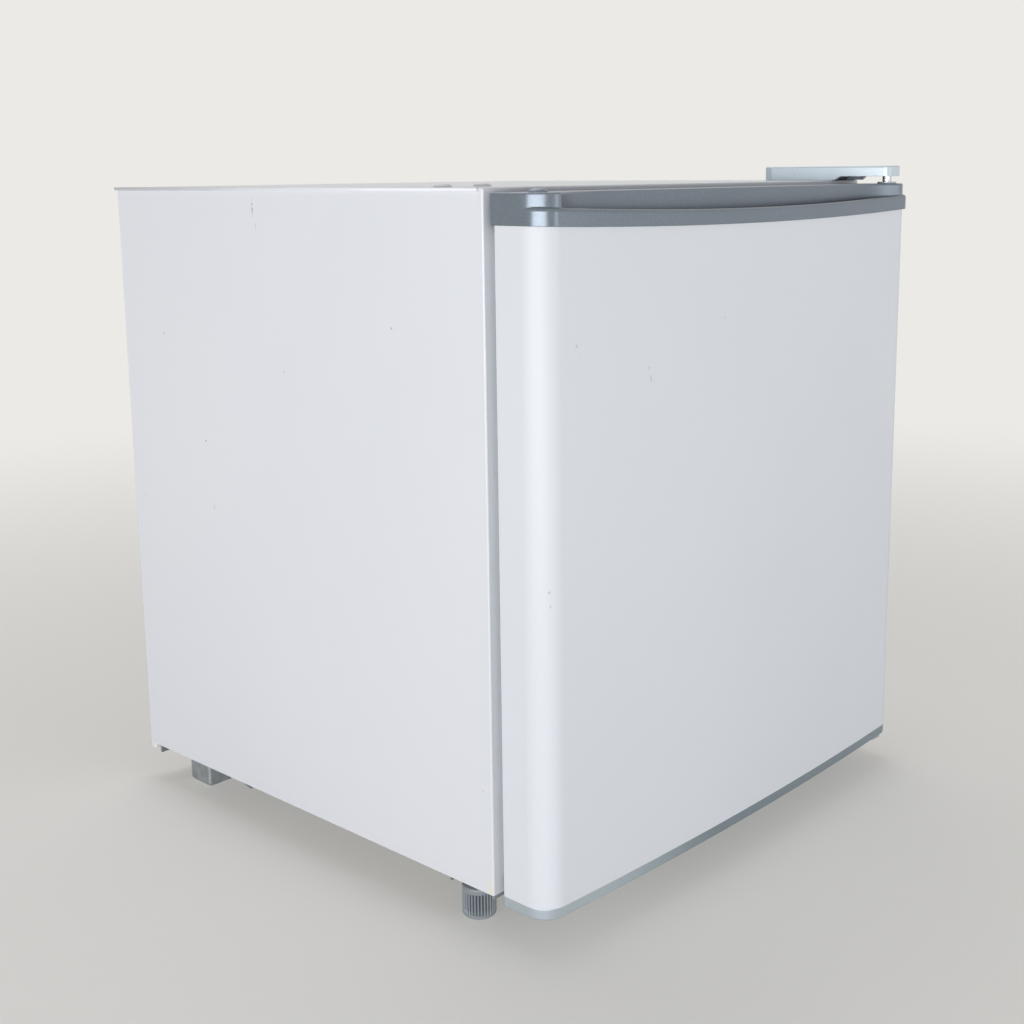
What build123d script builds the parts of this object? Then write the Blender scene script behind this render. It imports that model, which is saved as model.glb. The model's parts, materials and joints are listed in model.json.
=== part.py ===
from build123d import *
import os
from math import pi, radians, sin, sqrt, tan

os.makedirs("parts", exist_ok=True)

# Mini fridge, about 48 litres, free standing, one door hinged on the right.
# Millimetres. +X is to the right of someone facing the door, -Y is the front, +Z is up.
# The origin is on the floor, under the middle of the whole object's box.

# ---- cabinet: outer sheet metal ----
cabinet_width = 445.0
cabinet_depth = 406.0  # front flange to back edge
cabinet_bottom = 28.5  # floor to the lower edge of the side panels
cabinet_top = 493.4
sheet = 0.7  # painted steel
edge_radius = 3.0  # rounded front edges
side_flange = 28.0  # front flange of a side panel
top_flange = 37.0
bottom_flange = 31.5
rear_flange = 14.0
bay_flange = 18.0  # inward foot of a side panel beside the compressor
top_overhang = 1.5
top_lip = 2.4

# ---- cabinet: walls and interior ----
side_wall = 34.0  # outer face to inner face
ceiling_wall = 42.0
floor_wall = 39.5
rear_wall = 42.0
liner = 1.6
liner_radius = 14.0
bay_depth = 121.0
bay_height = 161.5  # under the cabinet floor line to the roof of the bay
step_wall = 40.0
liner_land = 6.0  # liner flange beyond the opening
flange_play = 0.3  # liner to the sheet metal flanges
back_rib_width = 10.0
back_rib_inset = 60.0
back_rib_places = (0.3, 0.7)  # shares of the back panel's height

# ---- door ----
door_gap = 10.0  # cabinet front to the rear edge of the skin
door_depth = 44.4  # rear edge of the skin to the apex of the bowed front
door_bow = 7.25  # how far the front bows out over its width
door_corner = 17.0
door_drop = 4.4  # cabinet's lower edge to the door's
door_top_drop = 3.0  # cabinet top to the door's top
bottom_cap_height = 8.0
bottom_cap_round = 1.6
skin_flange = 16.0
cap_wall = 2.2
tongue = 9.0  # how far a cap reaches into the skin
tongue_clearance = 0.15

# ---- door: top cap with the hand recess ----
cap_rear_gap = 6.9
cap_rear_height = 21.0
cap_height = 19.7  # door top to the skin's seam, at the door's two ends
seam_dip = 4.3  # how much lower the seam is in the middle
lip_end = 11.4  # height of the lip at the ends
lip_middle = 10.3
lip_proud = 2.0
lip_corner = 14.0
lip_wall = 4.6
lip_round = 2.4
recess_depth = 11.0  # pocket behind the lip, below the lip's top
recess_wall = 36.0  # cabinet front to the back wall of the recess
boss_end = 18.0  # width of the full height boss at each end
recess_sweep = 70.0  # where the back wall starts to sweep forward
cap_round = 1.2

# ---- hinges ----
hinge_inset = 13.0  # axis from the cabinet's side
hinge_reach = 34.0  # axis in front of the cabinet
pin_radius = 3.6
pin_clearance = 0.05
bush_radius = 5.5
bush_flange_radius = 7.5
bush_flange = 1.4
bush_length = 15.0
pin_depth = 14.0  # how far a pin goes into its bush
plate = 2.5
arm_rise = 3.5  # the upper hinge arm above its seat
lower_arm_gap = 2.6  # door to the lower hinge arm
cover_height = 11.1
cover_wall = 1.6
cover_lift = 2.9  # cover's skirt above the cabinet top, over the door
hinge_screw_pitch = 36.0
hinge_screw_inset = 14.0
hinge_screw_back = 49.0
plate_end = 53.5  # cabinet front to the rear end of the upper plate
plate_side = 6.0  # cabinet side to the plate's right edge
plate_tip = 5.0  # hinge axis to the arm's front end
plate_width = 47.0
crank_front = 2.5  # where the upper arm's crank starts and ends
crank_rear = 8.0
pin_tip = 0.8  # chamfer that guides a pin into its bush
pin_head = 1.6
cover_side = 4.0
cover_front = 9.0  # hinge axis to the cover's front end
cover_end = 56.5
cover_width = 53.0
cover_round = 1.4
cover_turn = 9.0  # the notch is cut square to the cover's slanted run, in degrees
bracket_width = 72.0
bracket_end = 42.0
bracket_tip = 9.0
bracket_arm = 24.0
screw_radius = 2.4
screw_length = 14.0
screw_play = 0.2
screw_head_radius = 4.0
screw_head = 2.6
screw_slot = 1.0
lower_screws = ((38.0, 16.0), (38.0, 34.0), (60.0, 25.0))  # from the side and from the front
plug_radius = 6.0
plug_height = 1.8
plug_stem = 6.0
plug_rim_radius = 6.2  # plug in the door's unused hinge hole
plug_dome = 2.4
plug_depth = 8.0
boss_wall = 2.0  # round a bush

# ---- feet ----
foot_radius = 11.8
foot_nut_gap = 0.5
foot_inset = 15.6
foot_back = 29.0
foot_collar = 3.4
foot_rim = 3.0
rib_count = 38
rib_depth = 0.55
stem_radius = 3.9
stem_clearance = 0.06
stem_length = 24.0
stem_room = 1.0  # holes round a stem
stem_pocket = 32.0  # room in the foam above the cabinet's floor sheet
foot_hollow = 2.0
foot_hollow_share = 0.55
rail_metal = 1.2
rail_bend = 0.8
rail_drop = 4.2
rail_depth = 42.0
rail_inset = 2.5
rail_front = 2.0
nut_radius = 7.5
nut_height = 3.8

# ---- compressor bay ----
tray_metal = 1.2
tray_bend = 1.0
tray_front_gap = 3.0  # bay's front wall to the tray's front lip
tray_rear_gap = 8.0  # tray to the cabinet's back edge
tray_lip = 14.0
tray_side_gap = 4.0
tray_rear_lip = 9.0
tray_chamfer = 12.0
rear_foot_inset = 14.0
rear_foot_width = 26.0
rear_foot_back = 63.0  # cabinet's back edge to the front of a rear foot
rear_foot_length = 27.0
rear_foot_taper = 2.0
rear_foot_round = 2.5
rear_foot_heel = 3.0
corner_block_width = 12.0
corner_block_depth = 7.0
corner_block_height = 4.5
corner_block_round = 1.6
compressor_x = 34.0
compressor_back = 61.0  # cabinet's back edge to the compressor's axis
compressor_length = 138.0
compressor_width = 100.0
compressor_height = 124.0
compressor_plan_round = 46.0
compressor_round = 34.0
compressor_sink = 3.0  # how far the shell hangs below its feet
seam_share = 0.52  # height of the welded seam on the shell
seam_height = 3.4
seam_reach = 2.2
compressor_foot_x = 84.0
compressor_foot_y = 30.0
foot_margin = 14.0  # foot plate round its bolts
foot_neck = 40.0
foot_shoulder = 72.0
foot_plate = 3.0
grommet_radius = 11.0
grommet_seat = 8.0
grommet_height = 14.0
grommet_play = 0.1
grommet_neck = 0.64  # shares of the grommet's radius
grommet_head = 0.84
bolt_radius = 3.0
bolt_head_radius = 5.6
bolt_head = 4.0
washer_radius = 8.0
washer = 1.4
relay_gap = 2.6
relay_depth = 34.0
relay_half_width = 30.0
relay_half_height = 29.0
relay_drop = 62.0  # compressor's top to the relay's middle
relay_wall = 2.2
relay_post = 5.0
relay_round = 6.0
relay_slots = (-12.0, -4.0, 4.0, 12.0)
relay_slot_width = 2.8
gland_drop = 18.0  # below the relay's middle
gland_reach = 17.4
gland_bore = 3.6
gland_neck = 6.0
gland_flange = 8.0
tube_radius = 3.2
thin_tube_radius = 2.4
tube_bend = 14.0
discharge_bend = 12.0
pipe_play = 0.4
pipe_rise = 6.0  # pipes above the compressor
pipe_wall_gap = 20.0  # liner to the pipes that climb behind it
pipe_step = 14.0  # between the two pipes where they meet the freezer box
suction_offset = 52.0  # from the compressor's middle, sideways
suction_depth = 30.0
capillary_offset = 90.0
discharge_offset = 40.0
discharge_depth = 34.0
discharge_forward = 18.0
bay_pipe_gap = 16.0  # bay walls to the discharge pipe
drier_depth = 40.0  # bay's front wall to the filter drier
drier_level = 95.0
drier_radius = 9.0
drier_body = 24.0
drier_cone = 8.0
drier_neck = 6.0
coil_pitch = 56.0
coil_runs = 5
coil_front = 44.0
coil_foot_gap = 40.0
coil_head_gap = 60.0
coil_room = 10.0  # foam pocket beyond the coil

# ---- freezer box, drip tray, shelf ----
evaporator_sheet = 1.5
evaporator_height = 98.0
evaporator_front = 130.0
evaporator_rear_gap = 12.0  # freezer box to the liner's rear wall
bottle_gap = 43.0  # freezer box to the thermostat housing
evaporator_left = 14.0
evaporator_drop = 8.4
evaporator_round = 10.0
hanger_inset = 30.0
hanger_ends = 40.0
hanger_radius = 6.0
hanger_screw = 20.0
frame_depth = 16.0
frame_wall = 5.0
frame_over = 3.0  # surround beyond the freezer box
frame_lap = 4.0
frame_round = 4.0
flap_gap = 1.0
flap_thickness = 2.6
flap_rim = 4.0
flap_rim_wall = 2.0
flap_pivot_drop = 5.0
flap_pivot_back = 5.0
flap_top = 3.2  # above the pivot
flap_grip = 8.0
flap_grip_half = 38.0
flap_pin_radius = 2.0
drip_height = 18.0
drip_wall = 1.8
drip_front = 114.0
drip_round = 8.0
drip_floor_round = 4.0
drip_grip_half = 60.0
drip_grip_reach = 9.0
rim_width = 3.5
rim_thick = 1.8
slide_gap = 0.3
rail_ledge = 4.0
rail_drop_gap = 8.0
rail_thick = 2.0
rail_height = 22.0
shelf_lift = 11.0  # shelf above the top of the compressor step
shelf_front = 95.0
shelf_rear_gap = 9.0
shelf_side_gap = 2.2
shelf_corner = 14.0
shelf_bars = (0.33, 0.67)
rod_radius = 2.2
wire_radius = 1.3
wire_pitch = 24.0
bar_radius = 1.6
rib_out = 8.0
rib_thick = 6.0
rib_front = 62.0
rib_rear_gap = 6.0
rib_slope = 4.0
rib_round = 2.0
rib_spacing = 72.0

# ---- thermostat ----
housing_width = 70.0
housing_height = 58.0
housing_front = 95.0
housing_rear = 215.0
housing_wall = 2.0
housing_round = 8.0
housing_drop = 2.0
vent_levels = (14.0, 20.0, 26.0, 32.0)
vent_height = 2.4
vent_inset = 14.0
knob_radius = 17.0
knob_height = 14.0
knob_gap = 0.4
knob_drop = 2.0
dial_thickness = 5.0
crown_share = 0.8
finger_bar = 5.0  # half width of the bar across the knob
pointer_width = 1.6
shaft_radius = 3.0
shaft_end = 3.0
shaft_reach = 17.0
switch_half_width = 18.0
switch_half_height = 15.0
switch_depth = 26.0
switch_neck = 7.0
bellows_radius = 10.0
bellows_depth = 6.0
sensing_radius = 1.2
sensing_back = 62.0
sensing_bend = 10.0
sensing_slant = 22.0
sensing_drop = 12.0
sensing_run = 110.0
clamp_back = 70.0
clamp_length = 12.0
clamp_half = 9.0
clamp_height = 3.6

# ---- inside of the door ----
panel = 1.6
panel_inset = 2.5
panel_low = 9.9  # door's lower edge to the panel's
panel_high = 2.7  # seam's ends to the panel's upper edge
panel_round = 5.0
gasket_inset = 10.0
gasket_width = 13.0
gasket_low = 15.9  # door's lower edge to the gasket's
gasket_high = 4.1  # seam's ends to the gasket's upper edge
gasket_gap = 0.5
gasket_base = 1.6
gasket_bulb = 3.6
gasket_neck = 2.5
gasket_bulb_inset = 0.8
gasket_hollow = 3.6
magnet_inset = 2.2
magnet_cover = 0.7
magnet_thick = 2.2
dyke_gap = 4.0  # cabinet liner to the raised rim
dyke_width = 14.0
dyke_reach = 18.0
dyke_corner = 18.0
dyke_round = 3.5
rack_wall = 2.2
rack_round = 8.0
rack_lip_round = 3.0
rack_plan_round = 14.0
rack_shoulder = 26.0
rack_rise = 12.0
rack_window_inset = 40.0
rack_window = (0.42, 0.68)  # shares of the rack's height
rack_side_gap = 0.8
upper_rack_level = 300.0
upper_rack_height = 52.0
upper_rack_reach = 45.0
lower_rack_lift = 4.2
lower_rack_height = 84.0
lower_rack_reach = 74.0
peg_radius = 4.0
peg_reach = 5.0
peg_level = 30.0
peg_depth = 4.0
peg_clearance = 0.3

# ---- worked out from the sizes above ----
half = cabinet_width / 2
door_reach = door_gap + door_depth + lip_proud
front_y = (door_reach - cabinet_depth - top_overhang) / 2
bow_radius = (half**2 + door_bow**2) / (2 * door_bow)
inner_half = half - side_wall
floor_z = cabinet_bottom + floor_wall
ceiling_z = cabinet_top - ceiling_wall
bay_top = cabinet_bottom + bay_height
bay_front = cabinet_depth - bay_depth
liner_rear = cabinet_depth - rear_wall
door_bottom = cabinet_bottom - door_drop
door_top = cabinet_top - door_top_drop
seam_end = door_top - cap_height
seam_low = seam_end - seam_dip
panel_bottom = door_bottom + panel_low
panel_top = seam_end - panel_high
gasket_bottom = door_bottom + gasket_low
gasket_top = seam_end - gasket_high
foot_height = cabinet_bottom - rail_metal - nut_height - foot_nut_gap
tray_front = bay_front + tray_front_gap
tray_rear = cabinet_depth - tray_rear_gap
rear_foot_front = cabinet_depth - rear_foot_back
compressor_y = cabinet_depth - compressor_back
evaporator_width = 2 * inner_half - evaporator_left - bottle_gap - housing_width
evaporator_rear = liner_rear - evaporator_rear_gap
shelf_rear = liner_rear - shelf_rear_gap
rib_rear = liner_rear - rib_rear_gap
step_front = bay_front - step_wall
step_top = bay_top + step_wall
shelf_level = step_top + shelf_lift
hinge_x = half - hinge_inset
pin_bore = pin_radius + pin_clearance
skin_bottom = door_bottom + bottom_cap_height
arm_z = cabinet_top + arm_rise
lower_arm = door_bottom - lower_arm_gap
lower_seat = cabinet_bottom - rail_metal
foot_x = half - foot_inset
cover_top = cabinet_top + cover_height


def y_at(distance):
    """Y of a place this far behind the cabinet's front."""
    return front_y + distance


hinge_y = y_at(-hinge_reach)
foot_y = y_at(foot_back)
door_back = y_at(-door_gap)
door_front = door_back - door_depth
before_door = door_front - 2 * door_bow  # any place in front of the door
pipe_y = y_at(liner_rear + pipe_wall_gap)


# ---- small helpers ----
def block(x0, x1, y0, y1, z0, z1):
    """A box by its limits."""
    middle = ((x0 + x1) / 2, (y0 + y1) / 2, (z0 + z1) / 2)
    return Pos(*middle) * Box(x1 - x0, y1 - y0, z1 - z0)


def outline(corners):
    """A flat face through corners (a, b) or (a, b, radius)."""
    joints = []
    for i, corner in enumerate(corners):
        here = Vector(corner[0], corner[1])
        if len(corner) < 3:
            joints.append((here, None, here))
            continue
        before = Vector(corners[i - 1][0], corners[i - 1][1])
        after = Vector(*corners[(i + 1) % len(corners)][:2])
        u = (before - here).normalized()
        v = (after - here).normalized()
        half_angle = radians(u.get_angle(v)) / 2
        reach = corner[2] / tan(half_angle)
        middle = here + (u + v).normalized() * (corner[2] / sin(half_angle) - corner[2])
        joints.append((here + u * reach, middle, here + v * reach))
    edges = []
    for i, (start, middle, end) in enumerate(joints):
        if middle is not None:
            edges.append(ThreePointArc(start, middle, end))
        following = joints[(i + 1) % len(joints)][0]
        if (following - end).length > 1e-4:
            edges.append(Line(end, following))
    return make_face(edges)


def prism_x(face, x0, x1):
    """A face drawn in (y, z), from x0 to x1."""
    return extrude(Plane(origin=(x0, 0, 0), x_dir=(0, 1, 0), z_dir=(1, 0, 0)) * face, amount=x1 - x0)


def prism_y(face, y0, y1):
    """A face drawn in (x, z), from y0 to y1."""
    return extrude(Plane(origin=(0, y1, 0), x_dir=(1, 0, 0), z_dir=(0, -1, 0)) * face, amount=y1 - y0)


def prism_z(face, z0, z1):
    """A face drawn in (x, y), from z0 to z1."""
    return extrude(Pos(0, 0, z0) * face, amount=z1 - z0)


def bent(points, thickness, radius):
    """A folded sheet's section: the path, and the same path moved to its left."""
    count = len(points)
    metal = abs(thickness)
    normals = []
    for a, b in zip(points, points[1:]):
        run = Vector(b[0] - a[0], b[1] - a[1]).normalized()
        normals.append(Vector(-run.Y, run.X))
    first, second = [], []
    for i, point in enumerate(points):
        here = Vector(*point)
        if i in (0, count - 1):
            first.append(point)
            moved = here + normals[min(i, count - 2)] * thickness
            second.append((moved.X, moved.Y))
            continue
        a, b = normals[i - 1], normals[i]
        moved = here + (a + b) * (thickness / (1 + a.dot(b)))
        inward = a.cross(b).Z * thickness > 0
        outer, inner = radius + metal, radius
        first.append((*point, outer if inward else inner))
        second.append((moved.X, moved.Y, inner if inward else outer))
    return outline(first + second[::-1])


def cylinder(x, y, z0, z1, radius):
    return Pos(x, y, (z0 + z1) / 2) * Cylinder(radius, z1 - z0)


def cylinder_y(x, z, y0, y1, radius):
    return Pos(x, (y0 + y1) / 2, z) * Rot(90, 0, 0) * Cylinder(radius, y1 - y0)


def cylinder_x(y, z, x0, x1, radius):
    return Pos((x0 + x1) / 2, y, z) * Rot(0, 90, 0) * Cylinder(radius, x1 - x0)


def tube(points, radius, bend):
    """A round rod along straight runs and bends."""
    path = FilletPolyline(*points, radius=bend) if len(points) > 2 else Line(*points)
    return sweep(Plane(origin=path @ 0, z_dir=path % 0) * Circle(radius), path=path)


def both(piece):
    """A piece and its mirror image on the other side of the fridge."""
    return piece + mirror(piece, about=Plane.YZ)


def rounded_rectangle(x0, x1, z0, z1, radius):
    return outline([(x0, z0, radius), (x1, z0, radius), (x1, z1, radius), (x0, z1, radius)])


# ---- cabinet sheet metal ----
def mitre_left():
    """The left front flange's outline, mitred at both ends, in (x, z)."""
    inner = -half + side_flange
    return outline([
        (-half, cabinet_bottom), (inner, cabinet_bottom + side_flange),
        (inner, cabinet_top - side_flange), (-half, cabinet_top),
    ])


def left_side_panel():
    rear = y_at(cabinet_depth)
    section = bent(
        [(-half + rear_flange, rear), (-half, rear), (-half, front_y), (-half + side_flange, front_y)],
        sheet, edge_radius,
    )
    body = prism_z(section, cabinet_bottom, cabinet_top)
    band = edge_radius + sheet
    front = block(-half, half, front_y, front_y + band, cabinet_bottom, cabinet_top)
    body = body - (front - prism_y(mitre_left(), front_y, front_y + band))
    under_top = block(-half, half, front_y + band, rear, cabinet_top - sheet, cabinet_top)
    low = cabinet_bottom
    foot = block(-half + sheet, -half + bay_flange, y_at(bay_front), rear - sheet, low, low + sheet)
    return body - under_top + foot


def top_panel():
    outer_half = half + top_overhang
    rear = y_at(cabinet_depth + top_overhang)
    low = cabinet_top - top_flange
    section = bent([(rear, cabinet_top), (front_y, cabinet_top), (front_y, low)], sheet, edge_radius)
    body = prism_x(section, -half, half)
    band = edge_radius + sheet
    inner = half - side_flange
    keep = outline([
        (-half, cabinet_top), (half, cabinet_top), (inner, cabinet_top - side_flange),
        (inner, low), (-inner, low), (-inner, cabinet_top - side_flange),
    ])
    front = block(-half, half, front_y, front_y + band, low, cabinet_top)
    body = body - (front - prism_y(keep, front_y, front_y + band))
    skirt = cabinet_top - top_lip
    edge = block(-outer_half, outer_half, front_y + band, rear, skirt, cabinet_top)
    hollow = block(
        -outer_half + sheet, outer_half - sheet, front_y + band, rear - sheet, skirt, cabinet_top - sheet
    )
    body = body + (edge - hollow)
    for x, y in hinge_screw_places():
        body = body - both(cylinder(x, y, cabinet_top - sheet, cabinet_top, screw_radius + 2 * screw_play))
    return body


def hinge_screw_places():
    y = y_at(hinge_screw_back)
    x = half - hinge_screw_inset
    return [(x, y), (x - hinge_screw_pitch, y)]


def base_panel():
    inside = half - sheet
    rear = y_at(cabinet_depth) - 2 * sheet
    section = bent([
        (front_y, cabinet_bottom + bottom_flange), (front_y, cabinet_bottom),
        (y_at(bay_front), cabinet_bottom),
        (y_at(bay_front), bay_top), (rear, bay_top), (rear, bay_top + rear_flange),
    ], sheet, edge_radius)
    body = prism_x(section, -half, half)
    band = edge_radius + sheet
    inner = half - side_flange
    high = cabinet_bottom + bottom_flange
    keep = outline([
        (-half, cabinet_bottom), (half, cabinet_bottom), (inner, cabinet_bottom + side_flange),
        (inner, high), (-inner, high), (-inner, cabinet_bottom + side_flange),
    ])
    front = block(-half, half, front_y, front_y + band, cabinet_bottom, high)
    trim = block(inside, half, front_y + band, rear, cabinet_bottom, bay_top + rear_flange)
    corner = block(
        inside - edge_radius, half, rear - edge_radius - sheet, rear, bay_top - sheet, bay_top + rear_flange
    )
    body = body - (front - prism_y(keep, front_y, front_y + band)) - both(trim) - both(corner)
    low = cabinet_bottom
    body = body - both(cylinder(foot_x, foot_y, low, low + sheet, stem_radius + stem_room))
    for x, y in lower_screw_places():
        body = body - cylinder(x, y, low, low + sheet, screw_radius + screw_play)
    for x, y, radius in bay_roof_holes():
        body = body - cylinder(x, y, bay_top, bay_top + sheet, radius)
    return body


def bay_roof_holes():
    """Where the pipes pass through the roof of the compressor bay."""
    return [
        (suction_route()[0][0], pipe_y, tube_radius + pipe_play),
        (capillary_route()[0][0], pipe_y, thin_tube_radius + pipe_play),
    ]


def back_panel():
    """A flat sheet with two pressed ribs across it."""
    rear = y_at(cabinet_depth) - sheet
    inside = half - sheet - edge_radius
    body = block(-inside, inside, rear - sheet, rear, bay_top + rear_flange, cabinet_top - sheet)
    end = inside - back_rib_inset
    slope, up = back_rib_width, back_rib_width / 2
    rib = outline([(-end, -up), (-end + slope, up), (end - slope, up), (end, -up)])
    for share in back_rib_places:
        level = bay_top + (cabinet_top - bay_top) * share
        body = body + prism_y(Pos(0, level) * rib, rear, rear + sheet)
    return body


# ---- liner and foam ----
def cavity(grow):
    """The cabinet's inside, with its compressor step, grown by a wall."""
    r = liner_radius + grow
    front, rear = front_y, y_at(liner_rear) + grow
    step_y, low, high = y_at(step_front) + grow, floor_z - grow, ceiling_z + grow
    step_z = step_top - grow
    profile = outline([
        (front, low), (step_y, low, r), (step_y, step_z, liner_radius), (rear, step_z, r),
        (rear, high, r), (front, high),
    ])
    body = prism_x(profile, -inner_half - grow, inner_half + grow)
    along = [e for face in (body.faces().sort_by(Axis.X)[0], body.faces().sort_by(Axis.X)[-1])
             for e in face.edges() if e.bounding_box().max.Y > front + 1]
    return fillet(along, (liner_radius + grow) * 0.7)


def shelf_ribs():
    """Two pairs of runners for the shelf, on the side walls."""
    wall = -inner_half - liner / 2
    body = None
    for level in (shelf_level - slide_gap, shelf_level - slide_gap - rib_spacing):
        rear = y_at(rib_rear if level > step_top - rib_thick else step_front - rib_rear_gap)
        section = outline([
            (wall, level - rib_thick - rib_slope), (-inner_half + rib_out, level - rib_thick, rib_round),
            (-inner_half + rib_out, level, rib_round), (wall, level),
        ])
        rib = both(prism_y(section, y_at(rib_front), rear))
        body = rib if body is None else body + rib
    return body


def inner_liner():
    """The vacuum formed inside, with a flange behind the cabinet's front flanges."""
    edge = inner_half + liner + liner_land
    land = half - side_flange - flange_play
    low = cabinet_bottom + bottom_flange + flange_play
    high = cabinet_top - top_flange - flange_play
    flange = block(-land, land, front_y, front_y + liner, low, high)
    hook = block(
        -edge, edge, front_y + sheet, front_y + sheet + liner, floor_z - liner_land, ceiling_z + liner_land
    )
    shell = cavity(liner) + flange + hook - cavity(0)
    mouth = block(-inner_half, inner_half, front_y, front_y + sheet + liner, floor_z, ceiling_z)
    body = shell - mouth + shelf_ribs()
    for x, y in hanger_places():
        body = body - cylinder(x, y, ceiling_z, ceiling_z + liner, screw_radius)
    suction = pipe(suction_route(), tube_radius + pipe_play)
    return body - suction - pipe(capillary_route(), thin_tube_radius + pipe_play)


def cabinet_foam():
    """Foam between the sheet metal and the liner."""
    rear = y_at(cabinet_depth) - 2 * sheet
    inside = half - sheet
    body = block(-inside, inside, front_y + sheet, rear, cabinet_bottom + sheet, cabinet_top - sheet)
    bay = block(-half, half, y_at(bay_front) - sheet, rear, cabinet_bottom, bay_top + sheet)
    body = body - bay - cavity(liner)
    for shell in (left_side_panel(), top_panel(), base_panel(), back_panel(), inner_liner()):
        body = body - shell
    body = body - mirror(left_side_panel(), about=Plane.YZ)
    coil_end = coil_front + coil_pitch * (coil_runs - 1)
    pocket = block(
        half - sheet - 2 * thin_tube_radius - flange_play, half, y_at(coil_front - coil_room),
        y_at(coil_end + coil_room), coil_low() - coil_room, coil_high() + coil_room,
    )
    body = body - both(pocket)
    body = body - both(
        cylinder(foot_x, foot_y, cabinet_bottom, cabinet_bottom + stem_pocket, stem_radius + stem_room)
    )
    depth = screw_length + screw_head
    for x, y in hinge_screw_places():
        body = body - both(cylinder(x, y, cabinet_top - depth, cabinet_top, screw_radius + screw_play))
    for x, y in lower_screw_places():
        body = body - cylinder(x, y, cabinet_bottom, cabinet_bottom + depth, screw_radius + screw_play)
    for x, y in hanger_places():
        body = body - cylinder(x, y, ceiling_z, ceiling_z + hanger_screw, screw_radius)
    for route, radius in ((suction_route(), tube_radius), (capillary_route(), thin_tube_radius)):
        body = body - pipe(route, radius + pipe_play)
    return body.solids().sort_by(SortBy.VOLUME)[-1]


# ---- condenser, cooling pipes ----
def coil_low():
    return bay_top + coil_foot_gap


def coil_high():
    return cabinet_top - coil_head_gap


def condenser_coil():
    """The left hot wall coil, lying against the side panel's inner face."""
    x = -half + sheet + thin_tube_radius
    points = []
    for run in range(coil_runs):
        y = y_at(coil_front + run * coil_pitch)
        ends = (coil_low(), coil_high()) if run % 2 == 0 else (coil_high(), coil_low())
        points += [(x, y, ends[0]), (x, y, ends[1])]
    return tube(points, thin_tube_radius, tube_bend)


def pipe(points, radius):
    return tube(points, radius, tube_bend)


def freezer_inlet():
    """Height at which the pipes enter the back of the freezer box."""
    return ceiling_z - evaporator_drop - evaporator_height / 2


def suction_route():
    x, y = compressor_x - suction_offset, y_at(compressor_y)
    over = compressor_top() + pipe_rise
    return [
        (x, y, compressor_top() - suction_depth), (x, y, over), (x, pipe_y, over),
        (x, pipe_y, freezer_inlet()),
        (x, y_at(evaporator_rear) - evaporator_sheet, freezer_inlet()),
    ]


def capillary_route():
    x = compressor_x - capillary_offset
    level = freezer_inlet() - pipe_step
    return [
        (x, y_at(drier_y()) + drier_body / 2, drier_z()), (x, pipe_y, drier_z()), (x, pipe_y, level),
        (x, y_at(evaporator_rear) - evaporator_sheet, level),
    ]


def drier_y():
    return bay_front + drier_depth


def drier_z():
    return cabinet_bottom + drier_level


def filter_drier():
    x, y, z = compressor_x - capillary_offset, y_at(drier_y()), drier_z()
    middle = drier_body / 2
    tail = middle + drier_cone
    section = outline([
        (0, -tail - drier_neck), (thin_tube_radius, -tail - drier_neck), (thin_tube_radius, -tail),
        (drier_radius, -middle, drier_neck / 2), (drier_radius, middle - drier_neck, drier_neck / 2),
        (thin_tube_radius, middle), (0, middle),
    ])
    return Pos(x, y, z) * revolve(section, axis=Axis.Y)


def discharge_tube():
    """From the compressor across the bay's front wall, then down and back to the drier."""
    x, y = compressor_x + discharge_offset, y_at(compressor_y) - discharge_forward
    over = compressor_top()
    run = y_at(bay_front) + bay_pipe_gap
    wall = -half + sheet + bay_pipe_gap + thin_tube_radius
    return tube([
        (x, y, over - discharge_depth), (x, y, over), (x, run, over), (wall, run, over),
        (wall, run, drier_z()),
        (compressor_x - capillary_offset - 2 * tube_bend, run, drier_z()),
    ], thin_tube_radius, discharge_bend)


# ---- compressor bay ----
def compressor_foot_z():
    return cabinet_bottom + grommet_seat + grommet_play


def compressor_low():
    return cabinet_bottom + grommet_seat - compressor_sink


def compressor_top():
    return compressor_low() + compressor_height


def grommet_places():
    return [(compressor_x + sx * compressor_foot_x, y_at(compressor_y + sy * compressor_foot_y))
            for sx in (-1, 1) for sy in (-1, 1)]


def compressor():
    """A welded shell with its seam flange, on two pressed feet."""
    x, y = compressor_x, y_at(compressor_y)
    end, side = compressor_length / 2, compressor_width / 2
    shape = rounded_rectangle(-end, end, -side, side, compressor_plan_round)
    shell = prism_z(shape, 0, compressor_height)
    shell = fillet(shell.edges().group_by(Axis.Z)[-1], compressor_round)
    shell = fillet(shell.edges().group_by(Axis.Z)[0], compressor_round * 0.7)
    seam_low = compressor_height * seam_share
    body = Pos(x, y, compressor_low()) * (
        shell + prism_z(offset(shape, seam_reach), seam_low, seam_low + seam_height)
    )
    foot_z = compressor_foot_z()
    tip, reach = compressor_foot_x + foot_margin, compressor_foot_y + foot_margin
    waist = compressor_foot_y * 2 / 3
    for sign in (-1, 1):
        foot = outline([
            (sign * foot_neck, -waist), (sign * foot_shoulder, -reach, 6), (sign * tip, -reach, 10),
            (sign * tip, reach, 10), (sign * foot_shoulder, reach, 6), (sign * foot_neck, waist),
        ])
        body = body + Pos(x, y) * prism_z(foot, foot_z, foot_z + foot_plate)
    for gx, gy in grommet_places():
        hole = grommet_radius * (grommet_neck + 0.02)
        body = body - cylinder(gx, gy, foot_z, foot_z + foot_plate, hole)
    return body - pipe(suction_route(), tube_radius) - discharge_tube() - relay_screw()


def relay_middle():
    """Inner face, middle and level of the relay cover."""
    x = compressor_x + compressor_length / 2 + relay_gap
    return x, y_at(compressor_y), compressor_top() - relay_drop


def relay_screw():
    x, y, z = relay_middle()
    return cylinder_x(y, z, x - relay_gap - 2 * relay_post, x + relay_depth * 2 / 3, bolt_radius * 2 / 3)


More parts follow.
